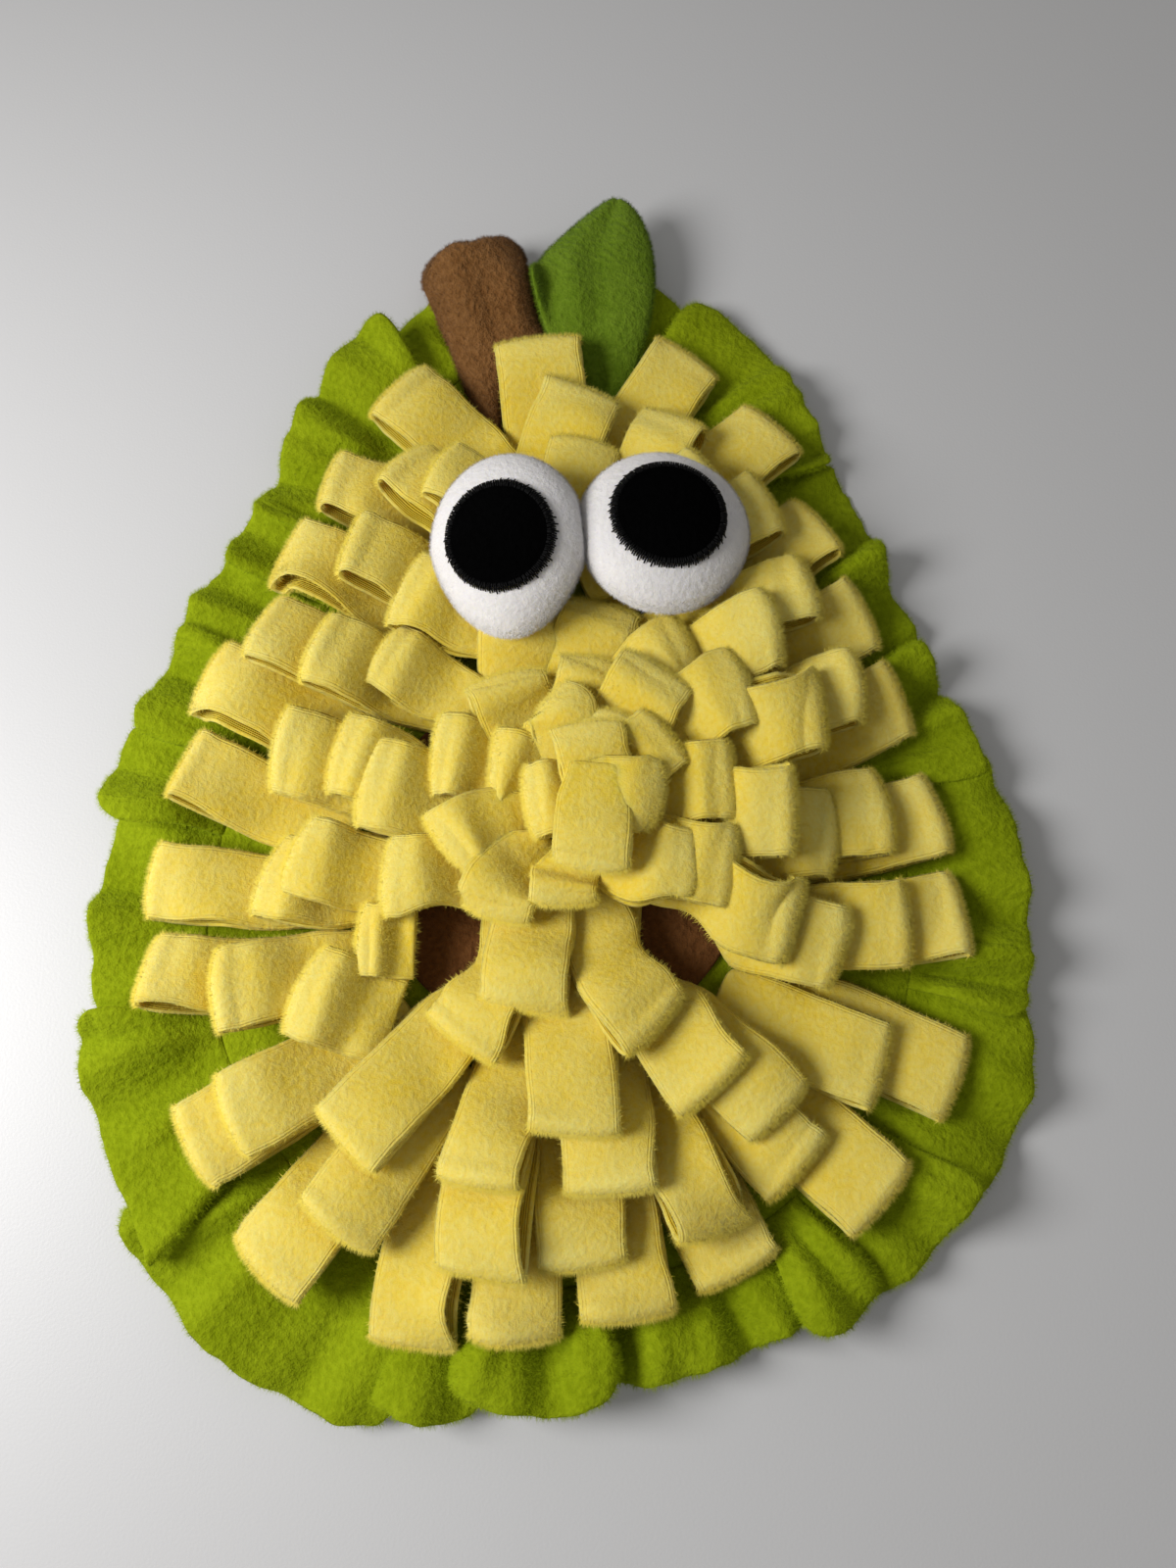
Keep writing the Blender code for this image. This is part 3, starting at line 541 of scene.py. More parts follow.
def make_base():
    places = np.linspace(0, base_line.length, BASE_ROUND, endpoint=False)
    rim = np.array([base_line.at(place)[0] for place in places])
    points = []
    for part in BASE_RINGS:
        for x, y in BASE_CENTRE + (rim - BASE_CENTRE) * part * BASE_SHRINK:
            ripple = 0.35 * math.sin(x / 17 + 1) * math.sin(y / 21) * (1 - part**6)
            points.append((x, y, BASE_THICK / 2 + 0.05 + ripple * 0.4))
    points.append((*BASE_CENTRE, BASE_THICK / 2))
    obj = cloth_object("base_sheet", points, ring_faces(len(BASE_RINGS), BASE_ROUND))
    thicken(obj, 2.7)
    obj.data.materials.append(lime_fleece)
    finish_piece(obj, "lime_fleece", "base_cloth")
    grid = np.array(points[:-1]).reshape(len(BASE_RINGS), BASE_ROUND, 3)
    grid = np.concatenate([grid, np.tile(np.array(points[-1]), (1, BASE_ROUND, 1))])
    grid = np.concatenate([grid, grid[:, :1]], axis=1)
    grid[:, :, 2] = BASE_THICK
    pile.stamp(grid)


make_base()


# %% [markdown]
# ## Patch in the middle
# A round brown patch is sewn on the base under the innermost loops. It shows in two windows. It
# is drawn a little larger than its solid, so that less green shows at their lower corners.

# %% Brown patch
PIT_CENTRE, PIT_RADIUS = np.array([2.0, 0.0]), 74
PIT_RINGS = (1.0, 0.96, 0.8, 0.6, 0.4, 0.2)


def make_patch():
    turns = range(0, 360, 5)
    middle = BASE_THICK + GAP + FLEECE / 2
    points = []
    for part in PIT_RINGS:
        for turn in turns:
            x, y = PIT_CENTRE + PIT_RADIUS * 0.99 * part * toward(turn)
            points.append((x, y, middle + 0.15 + 0.15 * math.sin(x / 9) * math.sin(y / 11)))
    points.append((*PIT_CENTRE, middle + 0.15))
    faces = turned_over(ring_faces(len(PIT_RINGS), len(turns)))
    obj = cloth_object("pit_sheet", points, faces)
    thicken(obj, 1.7)
    obj.data.materials.append(pit_fleece)
    finish_piece(obj, "pit_fleece", "pit_patch")
    turns = np.arange(0, 361, 5)
    grid = np.array([[np.append(PIT_CENTRE + PIT_RADIUS * part * toward(turn), middle + 1.2)
                      for turn in turns] for part in (0, 0.5, 1)])
    pile.stamp(grid)


make_patch()

# %% [markdown]
# ## The frill
# A long strip of green fleece is gathered round the edge of the base. It is cut straight, so
# the cloth it has to spare arches into lobes and folds over itself in the notches between them.
# Each row of the table is one lobe, measured along the edge of the base from the top, clockwise.

# %% Frill lobes
FRILL_LOBES = (
    # start, notch reach, reach, rise, overlap (above 0: this lobe lies over the one before it)
    (8, 31, 38, 6, 3),
    (45, 38, 49, 8, 5),
    (117, 45, 48, 7, -5),
    (167, 44, 41, 9, 5),
    (213, 36, 37, 8, 5),
    (257, 35, 39, 9, -5),
    (319, 33, 39, 7, 4),
    (334, 31, 47, 10, -4),
    (389, 41, 43, 11, 6),
    (426, 33, 39, 12, 5),
    (443, 32, 31, 11, -4),
    (507, 21, 36, 13, 6),
    (545, 29, 45, 12, -6),
    (567, 47, 58, 6, 4),
    (644, 53, 49, 7, 9),
    (700, 38, 40, 5, -6),
    (769, 32, 47, 7, 7),
    (796, 42, 47, 6, 5),
    (835, 43, 47, 8, -5),
    (872, 38, 41, 6, 5),
    (897, 37, 43, 9, 5),
    (980, 35, 35, 7, -4),
)
FRILL_STEP = 2.5            # spacing of the stations along a lobe
TURN_STATIONS = 4           # stations on the short ply that runs back inside a pleat
FRILL_ACROSS = 13
PLEAT_HEIGHT = 8.5          # how high the upper lobe of a pleat lies over the lower one
FRILL_START = -2.5          # where the frill starts, outwards from the edge of the base
FRILL_EXTRA = 3.3           # what it then reaches on, beyond the number in the table
FRILL_LOW, FRILL_FLOOR = 1.15, 1.3      # the height that rises are added to, and the least one
# how high a lobe stands, as a share of its rise, at places from its seam to its edge
LIFT_ACROSS = ((0, 0.15, 0.4, 0.72, 0.9, 1), (0, 0.12, 0.62, 0.95, 1, 0.94))


def slow_noise(count, step, size):
    """Smooth chance along a closed line: one new number every few steps."""
    knots = chance.uniform(-size, size, max(4, int(count / step)))
    knots = np.append(knots, knots[0])
    return np.interp(np.arange(count), np.linspace(0, count, len(knots)), knots)


def frill_path():
    """Stations round the outer edge: place, reach, rise, height in a pleat, place at the base."""
    stations = []
    count = len(FRILL_LOBES)
    for index, (start, notch, reach, rise, lap) in enumerate(FRILL_LOBES):
        following = FRILL_LOBES[(index + 1) % count]
        span = (following[0] - start) % base_line.length
        first, last = start - abs(lap), start + span + abs(following[4])
        high_first, high_last = (lap > 0) * PLEAT_HEIGHT, (following[4] < 0) * PLEAT_HEIGHT
        steps = max(6, int((last - first) / FRILL_STEP))
        ripple, phase = chance.uniform(0.08, 0.2), chance.uniform(0, 6)
        for step in range(steps + 1):
            part = step / steps
            arch = math.sin(math.pi * part) ** 0.4 if 0 < part < 1 else 0.0
            valley = notch + (following[1] - notch) * part
            wave = 1 + ripple * math.sin(2.2 * math.pi * part * max(1, span / 40) + phase)
            near_ends = 18.0 / max(span, 30)
            ply = (high_first * (1 - smooth_step(part / near_ends))
                   + high_last * smooth_step((part - 1) / near_ends + 1))
            stations.append((first + (last - first) * part, valley + (reach - valley) * arch,
                             rise * 1.15 * (0.55 + 0.45 * arch) * wave, float(ply),
                             start + span * (0.03 + 0.94 * part)))
        back_to = start + span - abs(following[4])
        for step in range(1, TURN_STATIONS + 1):
            part = step / (TURN_STATIONS + 1)
            low_side = 0.4 * (rise + (following[3] - rise) * part)
            stations.append((last + (back_to - last) * part, following[1] - 1.5, low_side,
                             high_last + ((following[4] > 0) * PLEAT_HEIGHT - high_last) * part,
                             start + span * 0.97 + (part - 0.5) * 0.5))
    return stations


def make_frill():
    stations = frill_path()
    count = len(stations)
    ragged = slow_noise(count, 1.0, 0.9)        # the cut edge isn't quite even
    puff = slow_noise(count, 7, 3.0)            # broad swellings
    ruffle = slow_noise(count, 4, 9.5)          # waves that grow towards the edge
    gather = slow_noise(count, 2.6, 4.4)        # small folds, deepest half way across
    points, paleness = [], []
    for number, (place, reach, rise, ply, base_place) in enumerate(stations):
        for column in range(FRILL_ACROSS):
            part = column / (FRILL_ACROSS - 1)
            here = base_place + (place - base_place) * smooth_step(part * 1.1)
            edge, outward = base_line.at(here)
            spot = edge + outward * (FRILL_START + (reach + FRILL_EXTRA + ragged[number]) * part)
            lift = np.interp(part, *LIFT_ACROSS)
            z = (FRILL_LOW + 1.2 * (1 - smooth_step(part * 4)) + rise * lift
                 + ply * smooth_step(part * 2.2)
                 + (puff[number] + gather[number] * 1.4 * (1 - 0.6 * part)) * math.sin(2.6 * part))
            z = max(z + ruffle[number] * part**1.5 * smooth_step(rise / 4), FRILL_FLOOR)
            points.append((*spot, z))
            # the lime material paints no highlight with this share: on the frill it only grows more
            # fibres towards the outer edge
            paleness.append(part)
    faces = grid_faces(count, FRILL_ACROSS, rows_meet=True)
    obj = cloth_object("frill_sheet", points, faces, {"paleness": paleness})
    thicken(obj, 1.9)
    obj.data.materials.append(lime_fleece)
    finish_piece(obj, "lime_fleece", "frill")
    grid = np.array(points).reshape(count, FRILL_ACROSS, 3)
    grid = np.concatenate([grid, grid[:1]])
    grid[:, :, 2] += 1.0
    pile.stamp(grid)
    return obj


frill_sheet = make_frill()

# %% [markdown]
# ## Stem and leaf
# Both are small pillows: two pieces of fleece sewn face to face, turned, and lightly stuffed.
# The stem flares at its end and bends to the left. The leaf has a crease along its middle where
# it is stitched through. Each row of a table is one station from the root to the tip.

# %% Stem and leaf outlines
STEM = (
    # y_left, x_left, y_right, x_right, height of the underside, thickness
    (186, -33, 178, -24, 1, 4), (206, -41, 202, -24, 2, 7), (224, -48, 220, -7, 4, 12),
    (240, -55, 236, -9, 4, 16), (253, -60, 252, -13, 4, 17), (263, -58, 268, -17, 5, 14),
    (268, -51, 276, -22, 7, 8),
)
LEAF = (
    (188, 15, 190, 24, 1, 4), (204, 8, 206, 31, 3, 6), (222, -3, 224, 37, 8, 9),
    (243, -11, 243, 41, 12, 11), (258, -9, 260, 41, 14, 11), (273, 4, 274, 38, 16, 9),
    (285, 17, 284, 33, 18, 6), (289, 23, 288, 28, 19, 4),
)
PAD_ROWS, PAD_COLUMNS = 26, 17
PAD_EDGE = 0.16             # thickness at the edge of a pad, as a share of its full thickness
CREASE_WIDTH = 0.22         # of half the pad's width
PAD_ROUNDING = 0.3          # how much of what its edge is thinner is taken from below


def smooth_stations(table, count):
    """Stations closer together, on curves through the rows of a table."""
    table = np.array(table, float)
    known = np.linspace(0, 1, len(table))
    slopes = np.gradient(table, known, axis=0)
    rows = []
    for t in np.linspace(0, 1, count):
        k = min(int(np.searchsorted(known, t, side="right")) - 1, len(table) - 2)
        h = known[k + 1] - known[k]
        s = (t - known[k]) / h
        rows.append((2 * s**3 - 3 * s**2 + 1) * table[k] + (s**3 - 2 * s**2 + s) * h * slopes[k]
                    + (3 * s**2 - 2 * s**3) * table[k + 1] + (s**3 - s**2) * h * slopes[k + 1])
    return np.array(rows)


def make_pad(name, table, crease, slot, node, material):
    rows = smooth_stations(table, PAD_ROWS)
    sides = np.sin(np.linspace(-1, 1, PAD_COLUMNS) * math.pi / 2)
    lower, upper = [], []
    for y_left, x_left, y_right, x_right, under, thick in rows:
        for side in sides:
            part = (side + 1) / 2
            plan = np.array([x_left + (x_right - x_left) * part,
                             y_left + (y_right - y_left) * part])
            full = thick * (PAD_EDGE + (1 - PAD_EDGE) * math.sqrt(max(0, 1 - side * side)))
            full *= 1 - crease * math.exp(-(side / CREASE_WIDTH) ** 2)
            floor = float(pile.crest(plan[None, :], 3)[0]) + GAP
            bottom = max(floor, under + (thick - full) * PAD_ROUNDING)
            lower.append((*plan, bottom))
            upper.append((*plan, bottom + full))
    size = len(lower)
    faces = []
    for face in grid_faces(PAD_ROWS, PAD_COLUMNS):
        faces.append(face)
        faces += turned_over([tuple(corner + size for corner in face)])
    rim = list(range(PAD_COLUMNS))
    rim += [row * PAD_COLUMNS + PAD_COLUMNS - 1 for row in range(1, PAD_ROWS)]
    rim += [size - 1 - column for column in range(1, PAD_COLUMNS)]
    rim += [row * PAD_COLUMNS for row in range(PAD_ROWS - 2, 0, -1)]
    faces += [(here, there, there + size, here + size)
              for here, there in zip(rim, rim[1:] + rim[:1])]
    obj = cloth_object(name, lower + upper, faces)
    subdivide_smooth(obj)
    obj.data.materials.append(material)
    finish_piece(obj, slot, node)
    pile.stamp(np.array(upper).reshape(PAD_ROWS, PAD_COLUMNS, 3) + np.array([0, 0, 0.3]))
    return obj


stem_pad = make_pad("stem_pad", STEM, 0.0, "stem_fleece", "stem", stem_fleece)
leaf_pad = make_pad("leaf_pad", LEAF, 0.35, "leaf_fleece", "leaf", leaf_fleece)

# %% [markdown]
# ## Loops of yellow fleece
# Eighty-eight straight strips make the pile. Each leaves its seam, runs outwards, folds back on
# itself and returns to the seam. They were laid in six rows from the rim inwards, so each table
# has the strips of one row, with the place of each fold read off the photograph. Four more
# strips, which are invented, close the middle that the photograph doesn't show.
# `roll` is the clear height inside the fold: 2 is pressed flat, 10 stands open like a tube.

# %% Where every loop lies
RIM_LOOPS = (
    # x, y, heading, width, roll
    (-9, 220, 97, 38, 4), (56, 216, 56, 33, 2), (91, 177, 39, 34, 2), (109, 134, 33, 33, 3),
    (124, 96, 26, 32, 3), (136, 60, 27, 31, 3), (149, 14, 15, 33, 3), (154, -26, 8, 33, 3),
    (147, -87, -27, 33, 2), (117, -129, -44, 34, 2), (67, -154, -63, 33, 2),
    (27, -168, -84, 33, 3), (-12, -174, -89, 31, 2), (-47, -175, -90, 30, 2),
    (-100, -152, -125, 32, 7), (-130, -111, -150, 33, 4), (-152, -47, 172, 29, 5),
    (-154, -12, 173, 31, 3), (-145, 33, 157, 31, 3), (-136, 67, 156, 32, 3),
    (-117, 86, 162, 31, 2), (-109, 121, 161, 33, 3), (-97, 155, 165, 29, 9),
    (-70, 199, 141, 33, 6),
)
SECOND_LOOPS = (
    (11, 195, 70, 34, 3), (51, 180, 57, 31, 8), (87, 140, 24, 31, 6), (103, 102, 6, 29, 9),
    (120, 61, 7, 30, 7), (128, 13, 5, 34, 4), (132, -30, 1, 33, 3), (120, -83, -22, 33, 3),
    (89, -118, -38, 31, 3), (56, -137, -72, 29, 5), (11, -150, -88, 32, 3),
    (-23, -152, -91, 32, 3), (-75, -138, -120, 31, 3), (-116, -100, -157, 31, 4),
    (-126, -56, 192, 31, 8), (-111, -10, 166, 34, 11), (-109, 38, 168, 34, 4),
    (-96, 77, 163, 31, 6), (-85, 121, 163, 31, 6), (-65, 159, 138, 30, 7),
)
THIRD_LOOPS = (
    (12, 168, 80, 30, 2), (62, 148, 36, 28, 2), (87, 83, 20, 31, 6), (101, 49, 8, 33, 7),
    (106, 4, 0, 34, 4), (107, -40, -12, 31, 5), (81, -99, -46, 29, 3), (21, -126, -88, 33, 3),
    (-25, -124, -101, 30, 3), (-73, -109, -131, 32, 3), (-93, -53, 160, 34, 9),
    (-98, -4, 162, 31, 4), (-85, 36, 165, 32, 6), (-70, 77, 148, 29, 5),
    (-62, 103, 158, 34, 5), (-49, 150, 160, 28, 2),
)
FOURTH_LOOPS = (
    (90, 9, 0, 34, 4), (89, -32, -10, 31, 5), (59, -91, -51, 33, 3), (8, -107, -90, 33, 3),
    (-35, -74, -130, 31, 3), (-73, -36, 178, 28, 5), (-73, 24, 166, 36, 6),
    (-16, 96, 102, 33, 4), (18, 98, 80, 33, 4), (52, 78, 18, 28, 7), (73, 58, 17, 33, 6),
)
FIFTH_LOOPS = (
    (68, 21, 0, 31, 5), (67, -12, -6, 30, 6), (38, -70, -48, 32, 3), (-10, -62, -93, 32, 4),
    (-63, -13, 175, 32, 5), (-47, 34, 178, 33, 6), (-20, 66, 106, 33, 5), (14, 72, 80, 26, 6),
    (40, 64, 60, 32, 6),
)
HEART_LOOPS = (
    (52, -15, -2, 32, 4), (43, 38, 40, 28, 5), (19, 47, 76, 26, 5), (-4, 50, 150, 28, 7),
    (-25, 28, 174, 32, 7), (-40, -5, 226, 29, 6), (-23, -30, 256, 30, 7), (4, -26, -88, 26, 4),
)
LOOP_ROWS = (
    # CAD node, loops, seam as two circles, width of a strip at its root, stations of the CAD strip
    ("loops_rim", RIM_LOOPS, ((2, -22), 92), ((-2, 150), 22), 22, (0, 0.25, 0.5, 0.75, 1)),
    ("loops_second", SECOND_LOOPS, ((2, -22), 75), ((0, 130), 14), 22, (0, 0.25, 0.5, 0.75, 1)),
    ("loops_third", THIRD_LOOPS, ((2, -8), 60), ((0, 118), 12), 20, (0, 0.25, 0.5, 0.75, 1)),
    ("loops_fourth", FOURTH_LOOPS, ((4, 6), 35), ((2, 34), 30), 17, (0, 0.25, 0.5, 0.75, 1)),
    ("loops_fifth", FIFTH_LOOPS, ((4, 5), 26), ((4, 26), 22), 15, (0, 0.3, 0.65, 1)),
    ("loops_heart", HEART_LOOPS, ((6, 6), 16), ((6, 20), 13), 10, (0, 0.35, 0.7, 1)),
)
MIDDLE_LOOPS = (
    # x, y, heading, width, roll, x and y of the root: four last loops that close the middle
    (-10, 12, 192, 28, 6, 16, 16),
    (12, 40, 102, 27, 6, 18, 10),
    (38, 12, -10, 28, 6, 8, 14),
    (14, -14, -96, 28, 6, 16, 20),
)
LIFTED = {
    # fold: how many millimetres its left edge (above 0) or its right edge (below 0) stands up
    (-100, -152): 7, (-130, -111): -3, (-97, 155): 5, (-70, 199): 5, (-152, -47): 4,
    (51, 180): -5, (87, 140): -5, (103, 102): -6, (120, 61): -5, (56, -137): -4,
    (-111, -10): 5, (-126, -56): 4, (-65, 159): 5, (101, 49): -5, (-93, -53): 3,
    (-73, -36): 2, (52, 78): -5, (73, 58): -4, (40, 64): 4, (-4, 50): 4,
    (-20, 66): 3, (-96, 77): 3, (-85, 121): 3, (107, -40): 1, (89, -32): 2,
}
TRIMMED = {(-93, -53): 0.3, (-73, -36): 0.66, (107, -40): 0.06}
WINDOWS = (((-42, -37), 14), ((45, -36), 13))   # where the brown patch shows: centre and radius
WINDOW_REACH = 1.5      # how far past a window a strip is still narrowed, in radii
SEAM_WIDTH = 7.0        # the flat part of each strip that the seam holds
SEAM_SLOT = 0.5         # height between the two plies at the seam
print("strips:", sum(len(row[1]) for row in LOOP_ROWS))


# %% [markdown]
# ## The line down the middle of a strip
# A strip is cut straight, so it bends sideways only a little between its seam and its fold. A
# Hermite curve is the natural tool: it takes a start, an end, and a direction at each.

# %% Plan of one strip
def spread_roots(wanted, pitch, length):
    """Move roots apart along their seam until none is closer than the pitch."""
    order = np.argsort(wanted)
    places = np.array(wanted, float)[order]
    for _ in range(4000):
        gaps = np.diff(np.append(places, places[0] + length))
        tight = np.maximum(pitch - gaps, 0) / 2
        if tight.max() < 0.01:
            break
        places -= tight
        places += np.roll(tight, 1)
    spread = np.empty(len(places))
    spread[order] = places
    return spread


def middle_line(root, leaving, tip, heading, t):
    """A point on the curve from the root to the tip, and its direction there."""
    chord = np.linalg.norm(tip - root)
    start = leaving * 0.4 + (tip - root) / chord * 0.6
    start = start / np.linalg.norm(start) * chord
    end = heading * chord
    point = ((2 * t**3 - 3 * t**2 + 1) * root + (t**3 - 2 * t**2 + t) * start
             + (3 * t**2 - 2 * t**3) * tip + (t**3 - t**2) * end)
    slope = ((6 * t**2 - 6 * t) * root + (3 * t**2 - 4 * t + 1) * start
             + (6 * t - 6 * t**2) * tip + (3 * t**2 - 2 * t) * end)
    return point, slope / np.linalg.norm(slope)


def room_beside(point, side, half, others):
    """How far a strip can reach to one side without crossing the middle of its neighbours."""
    while half > 3:
        edge = point + side * half
        if np.linalg.norm(others - edge, axis=1).min() > half + 1.5:
            break
        half -= 0.5
    return half


def clear_of_windows(middle, along, left, right):
    """Narrow a strip, or move it aside, where it would hide the brown patch."""
    for centre, radius in WINDOWS:
        aside = float((np.array(centre) - middle) @ turn_left(along))
        ahead = float((np.array(centre) - middle) @ along)
        if abs(ahead) > WINDOW_REACH * radius:
            continue
        room = abs(aside) - radius * (1 - (ahead / (WINDOW_REACH * radius)) ** 2)
        if aside > 0 and room < left:
            middle = middle - turn_left(along) * max(0.0, 4 - room)
            left = max(room, 4)
        elif aside <= 0 and room < right:
            middle = middle + turn_left(along) * max(0.0, 4 - room)
            right = max(room, 4)
    return middle, left, right


# %% [markdown]
# ## Draping a strip
# Fleece is soft but not limp. It hangs straight between two things that hold it up, sags a
# little, and follows what it lies on. Repeating three small steps gives that shape: average each
# point with its neighbours, let it drop a little, and push it back up to whatever lies under it.

# %% Drape one ply over the pile
ALONG = 12                                  # rows of points from the root to the fold
ACROSS = 5                                  # points across a strip
SIDES = np.linspace(1, -1, ACROSS)          # 1 is the left edge, -1 is the right one
HEAP = 42.0                                 # above this height the heap is pressed together
SETTLING_ROUNDS, SAG = 140, 0.10            # steps of the relaxation, and the drop in each
SHORT, EVEN = 42.0, 0.75                    # a strip shorter than SHORT lies this much more evenly
DROP_LIMIT = 4.0                            # how far a strip may settle below its CAD solid


def settle(heights):
    """The weight of the heap presses its upper part together."""
    return np.where(heights > HEAP, HEAP + (heights - HEAP) * 0.5, heights)


def drape(need, start):
    """Heights of one ply: it starts where its CAD solid lies, and settles on what it needs."""
    least = np.maximum(need, start - DROP_LIMIT)
    height = start.copy()
    for _ in range(SETTLING_ROUNDS):
        longer = np.vstack([height[:1], height, 2 * height[-1:] - height[-2:-1]])
        wider = np.hstack([height[:, :1], height, height[:, -1:]])
        along = (longer[:-2] + longer[2:]) / 2
        across = (wider[:, :-2] + wider[:, 2:]) / 2
        height = 0.3 * height + 0.45 * along + 0.25 * across - SAG
        height = np.maximum(height, least)
        height[0] = start[0]
    return height


def node_points(node):
    return np.array([vertex.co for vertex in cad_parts[node].data.vertices]) / MM


def underside(points, place):
    """The lowest point of a CAD mesh straight above one place, or else the top of the pile."""
    near = np.linalg.norm(points[:, :2] - place, axis=1) < 0.06
    return points[near, 2].min() if near.any() else pile.crest(place[None, :], 3)[0] + 0.6


# %% [markdown]
# ## One loop, from its seam round the fold and back
# The lower ply is draped first. The upper ply follows it at a distance that swells to a bulb
# just before the fold. The fold is half an ellipse between the two, turned to the slope of the
# strip, and reaches less far at its corners. The upper ply comes back a little askew, as
# hand-sewn strips do, so the lower edge peeks out.

# %% Build one loop
FOLD_TURNS = (36, 72, 108, 144)
ROUNDED_CORNER = 1.5        # how much less the fold reaches at the corners of a strip
FOLD_REACH = 0.6            # how far the fold reaches past a half circle
PLY_GAP = 0.1               # room between the two plies that is added everywhere
SWELL = 8.0                 # the most that a loop opens, in the bulb before the fold
BULB_CLOSES = 0.35          # how much of its room the bulb loses again at the fold
TIGHTENING = 1.35           # above 1: the rows of points come closer together towards the fold
FULL_WIDTH_FROM = 0.5       # a gathered strip has its full width from this part of its length
NEARBY = 0.12               # a strip's room is looked for this far before and behind each station
SOLID_RULES_FROM = 0.6      # from here a strip is at most OVERHANG wider than its solid, each side
OVERHANG = 6
FREE_LENGTH = 45            # a shorter strip has less room to twist
ROOTLESS = 0.2              # a strip that is trimmed by more than this has no root, and is straight
LAID_ON = 0.15              # kept between a strip and what it lies on


def make_loop(points, loop, root_edges, inner_edges, leaving, root_width, others, stations, twist,
              looseness):
    """Rows of points: lower ply, fold, upper ply. Also how close each row is to the fold."""
    x, y, heading_degrees, width, roll = loop
    bow_height, phase, fold_slant, arch_height, usual_lift = looseness
    heading = toward(heading_degrees)
    tip = np.array([x, y], float) - heading * (FLEECE + roll / 2)
    root = sum(root_edges) / 2

    # Half widths and heights at the stations of the CAD strip, which is gathered at its root
    halves, heights = [], []
    for part in stations:
        middle, along = middle_line(root, leaving, tip, heading, part)
        if part == 0:
            pair, room = root_edges, (root_width / 2, root_width / 2)
        else:
            full = float(smooth_step(part / FULL_WIDTH_FROM))
            half = (root_width + (width - root_width) * full) / 2
            nearby = [middle_line(root, leaving, tip, heading, min(part + shift, 1))
                      for shift in (-NEARBY, 0, NEARBY)]
            room = [min(room_beside(point, turn * turn_left(ahead), half, others)
                        for point, ahead in nearby) for turn in (1, -1)]
            pair = [middle + turn * turn_left(along) * reach for turn, reach in zip((1, -1), room)]
        halves.append(room)
        heights.append([underside(points, place) for place in pair])
    halves, heights = np.array(halves, float), np.array(heights, float)

    # The same strip with finer rows, closest together at the fold
    cut = TRIMMED.get((x, y), 0)
    distance = np.linalg.norm(tip - root)
    length = distance * (1 - cut)
    freedom = min(1.0, length / FREE_LENGTH)
    swell = min(1.35 * roll + 1.5, SWELL, 0.2 * length + 2)
    fold_depth = (FLEECE / 2 + FOLD_REACH
                  + (FLEECE + PLY_GAP + (1 - BULB_CLOSES) * swell) / 2)
    last = 1 - max(0, fold_depth - FLEECE - roll / 2) / distance
    share = 1 - (1 - np.linspace(0, 1, ALONG)) ** TIGHTENING
    parts = cut + (last - cut) * share
    plan = np.zeros((ALONG, ACROSS, 2))
    start = np.zeros((ALONG, ACROSS))
    for row, part in enumerate(parts):
        middle, along = middle_line(root, leaving, tip, heading, part)
        if cut >= ROOTLESS:
            middle, along = tip - heading * distance * (1 - part), heading
        solid = [np.interp(part, stations, halves[:, side]) for side in (0, 1)]
        gathered = 0.8 + 0.2 * float(smooth_step(part / 0.35))
        straight = width / 2 * gathered
        left, right = (max(half, straight if part < SOLID_RULES_FROM or length < SHORT
                           else min(straight, half + OVERHANG)) for half in solid)
        if cut < ROOTLESS:
            middle, left, right = clear_of_windows(middle, along, left, right)
        reach = np.where(SIDES > 0, SIDES * left, SIDES * right)
        plan[row] = middle + reach[:, None] * turn_left(along)
        lows = [np.interp(part, stations, heights[:, side]) for side in (0, 1)]
        start[row] = np.interp(reach, (-solid[1], solid[0]), (lows[1], lows[0]))
    need = pile.crest(plan.reshape(-1, 2), 2.5).reshape(ALONG, ACROSS) + LAID_ON
    firm = smooth_step(parts / 0.4)[:, None]
    need = np.where(need > start, start + (need - start) * firm, need)
    if length < SHORT:
        need, start = (EVEN * heights.mean() + (1 - EVEN) * heights for heights in (need, start))
    bottom = drape(need, start)

    lower = np.dstack([plan, bottom + FLEECE / 2])
    bow = bow_height * (1 - SIDES**2)[None, :] * smooth_step(share * 2)[:, None]
    rumple = 0.8 * np.sin(plan[:, :, 0] / 5.3 + phase) * np.sin(plan[:, :, 1] / 6.1)
    lower[:, :, 2] += bow * 0.3
    forward = np.gradient(lower, axis=0)
    sideways = np.gradient(lower, axis=1)
    normal = np.cross(sideways, forward)
    normal /= np.linalg.norm(normal, axis=2, keepdims=True)
    normal[:, :, 2] = np.abs(normal[:, :, 2])
    forward /= np.linalg.norm(forward, axis=2, keepdims=True)
    closing = BULB_CLOSES * smooth_step((share - 0.82) / 0.18)
    bulb = smooth_step((share - 0.35) / 0.45) * (1 - closing)
    gap = SEAM_SLOT + (swell - SEAM_SLOT) * bulb
    upper = lower + normal * (FLEECE + PLY_GAP + gap)[:, None, None]
    skew = freedom * twist * (1 - share) * smooth_step(share * 3)
    upper[:, :, :2] += turn_left(heading) * skew[:, None, None]
    arch = arch_height * np.sin(math.pi * share) ** 0.8
    lifted = LIFTED.get((x, y), usual_lift)
    tilt = (freedom * abs(lifted) * (1 + np.sign(lifted) * SIDES)[None, :] / 2
            * smooth_step(share * 1.3)[:, None])
    upper[:, :, 2] += bow + arch[:, None] * freedom + tilt
    upper[:, :, 2] += freedom * rumple * smooth_step(share * 3)[:, None] * (1 - share**6)[:, None]

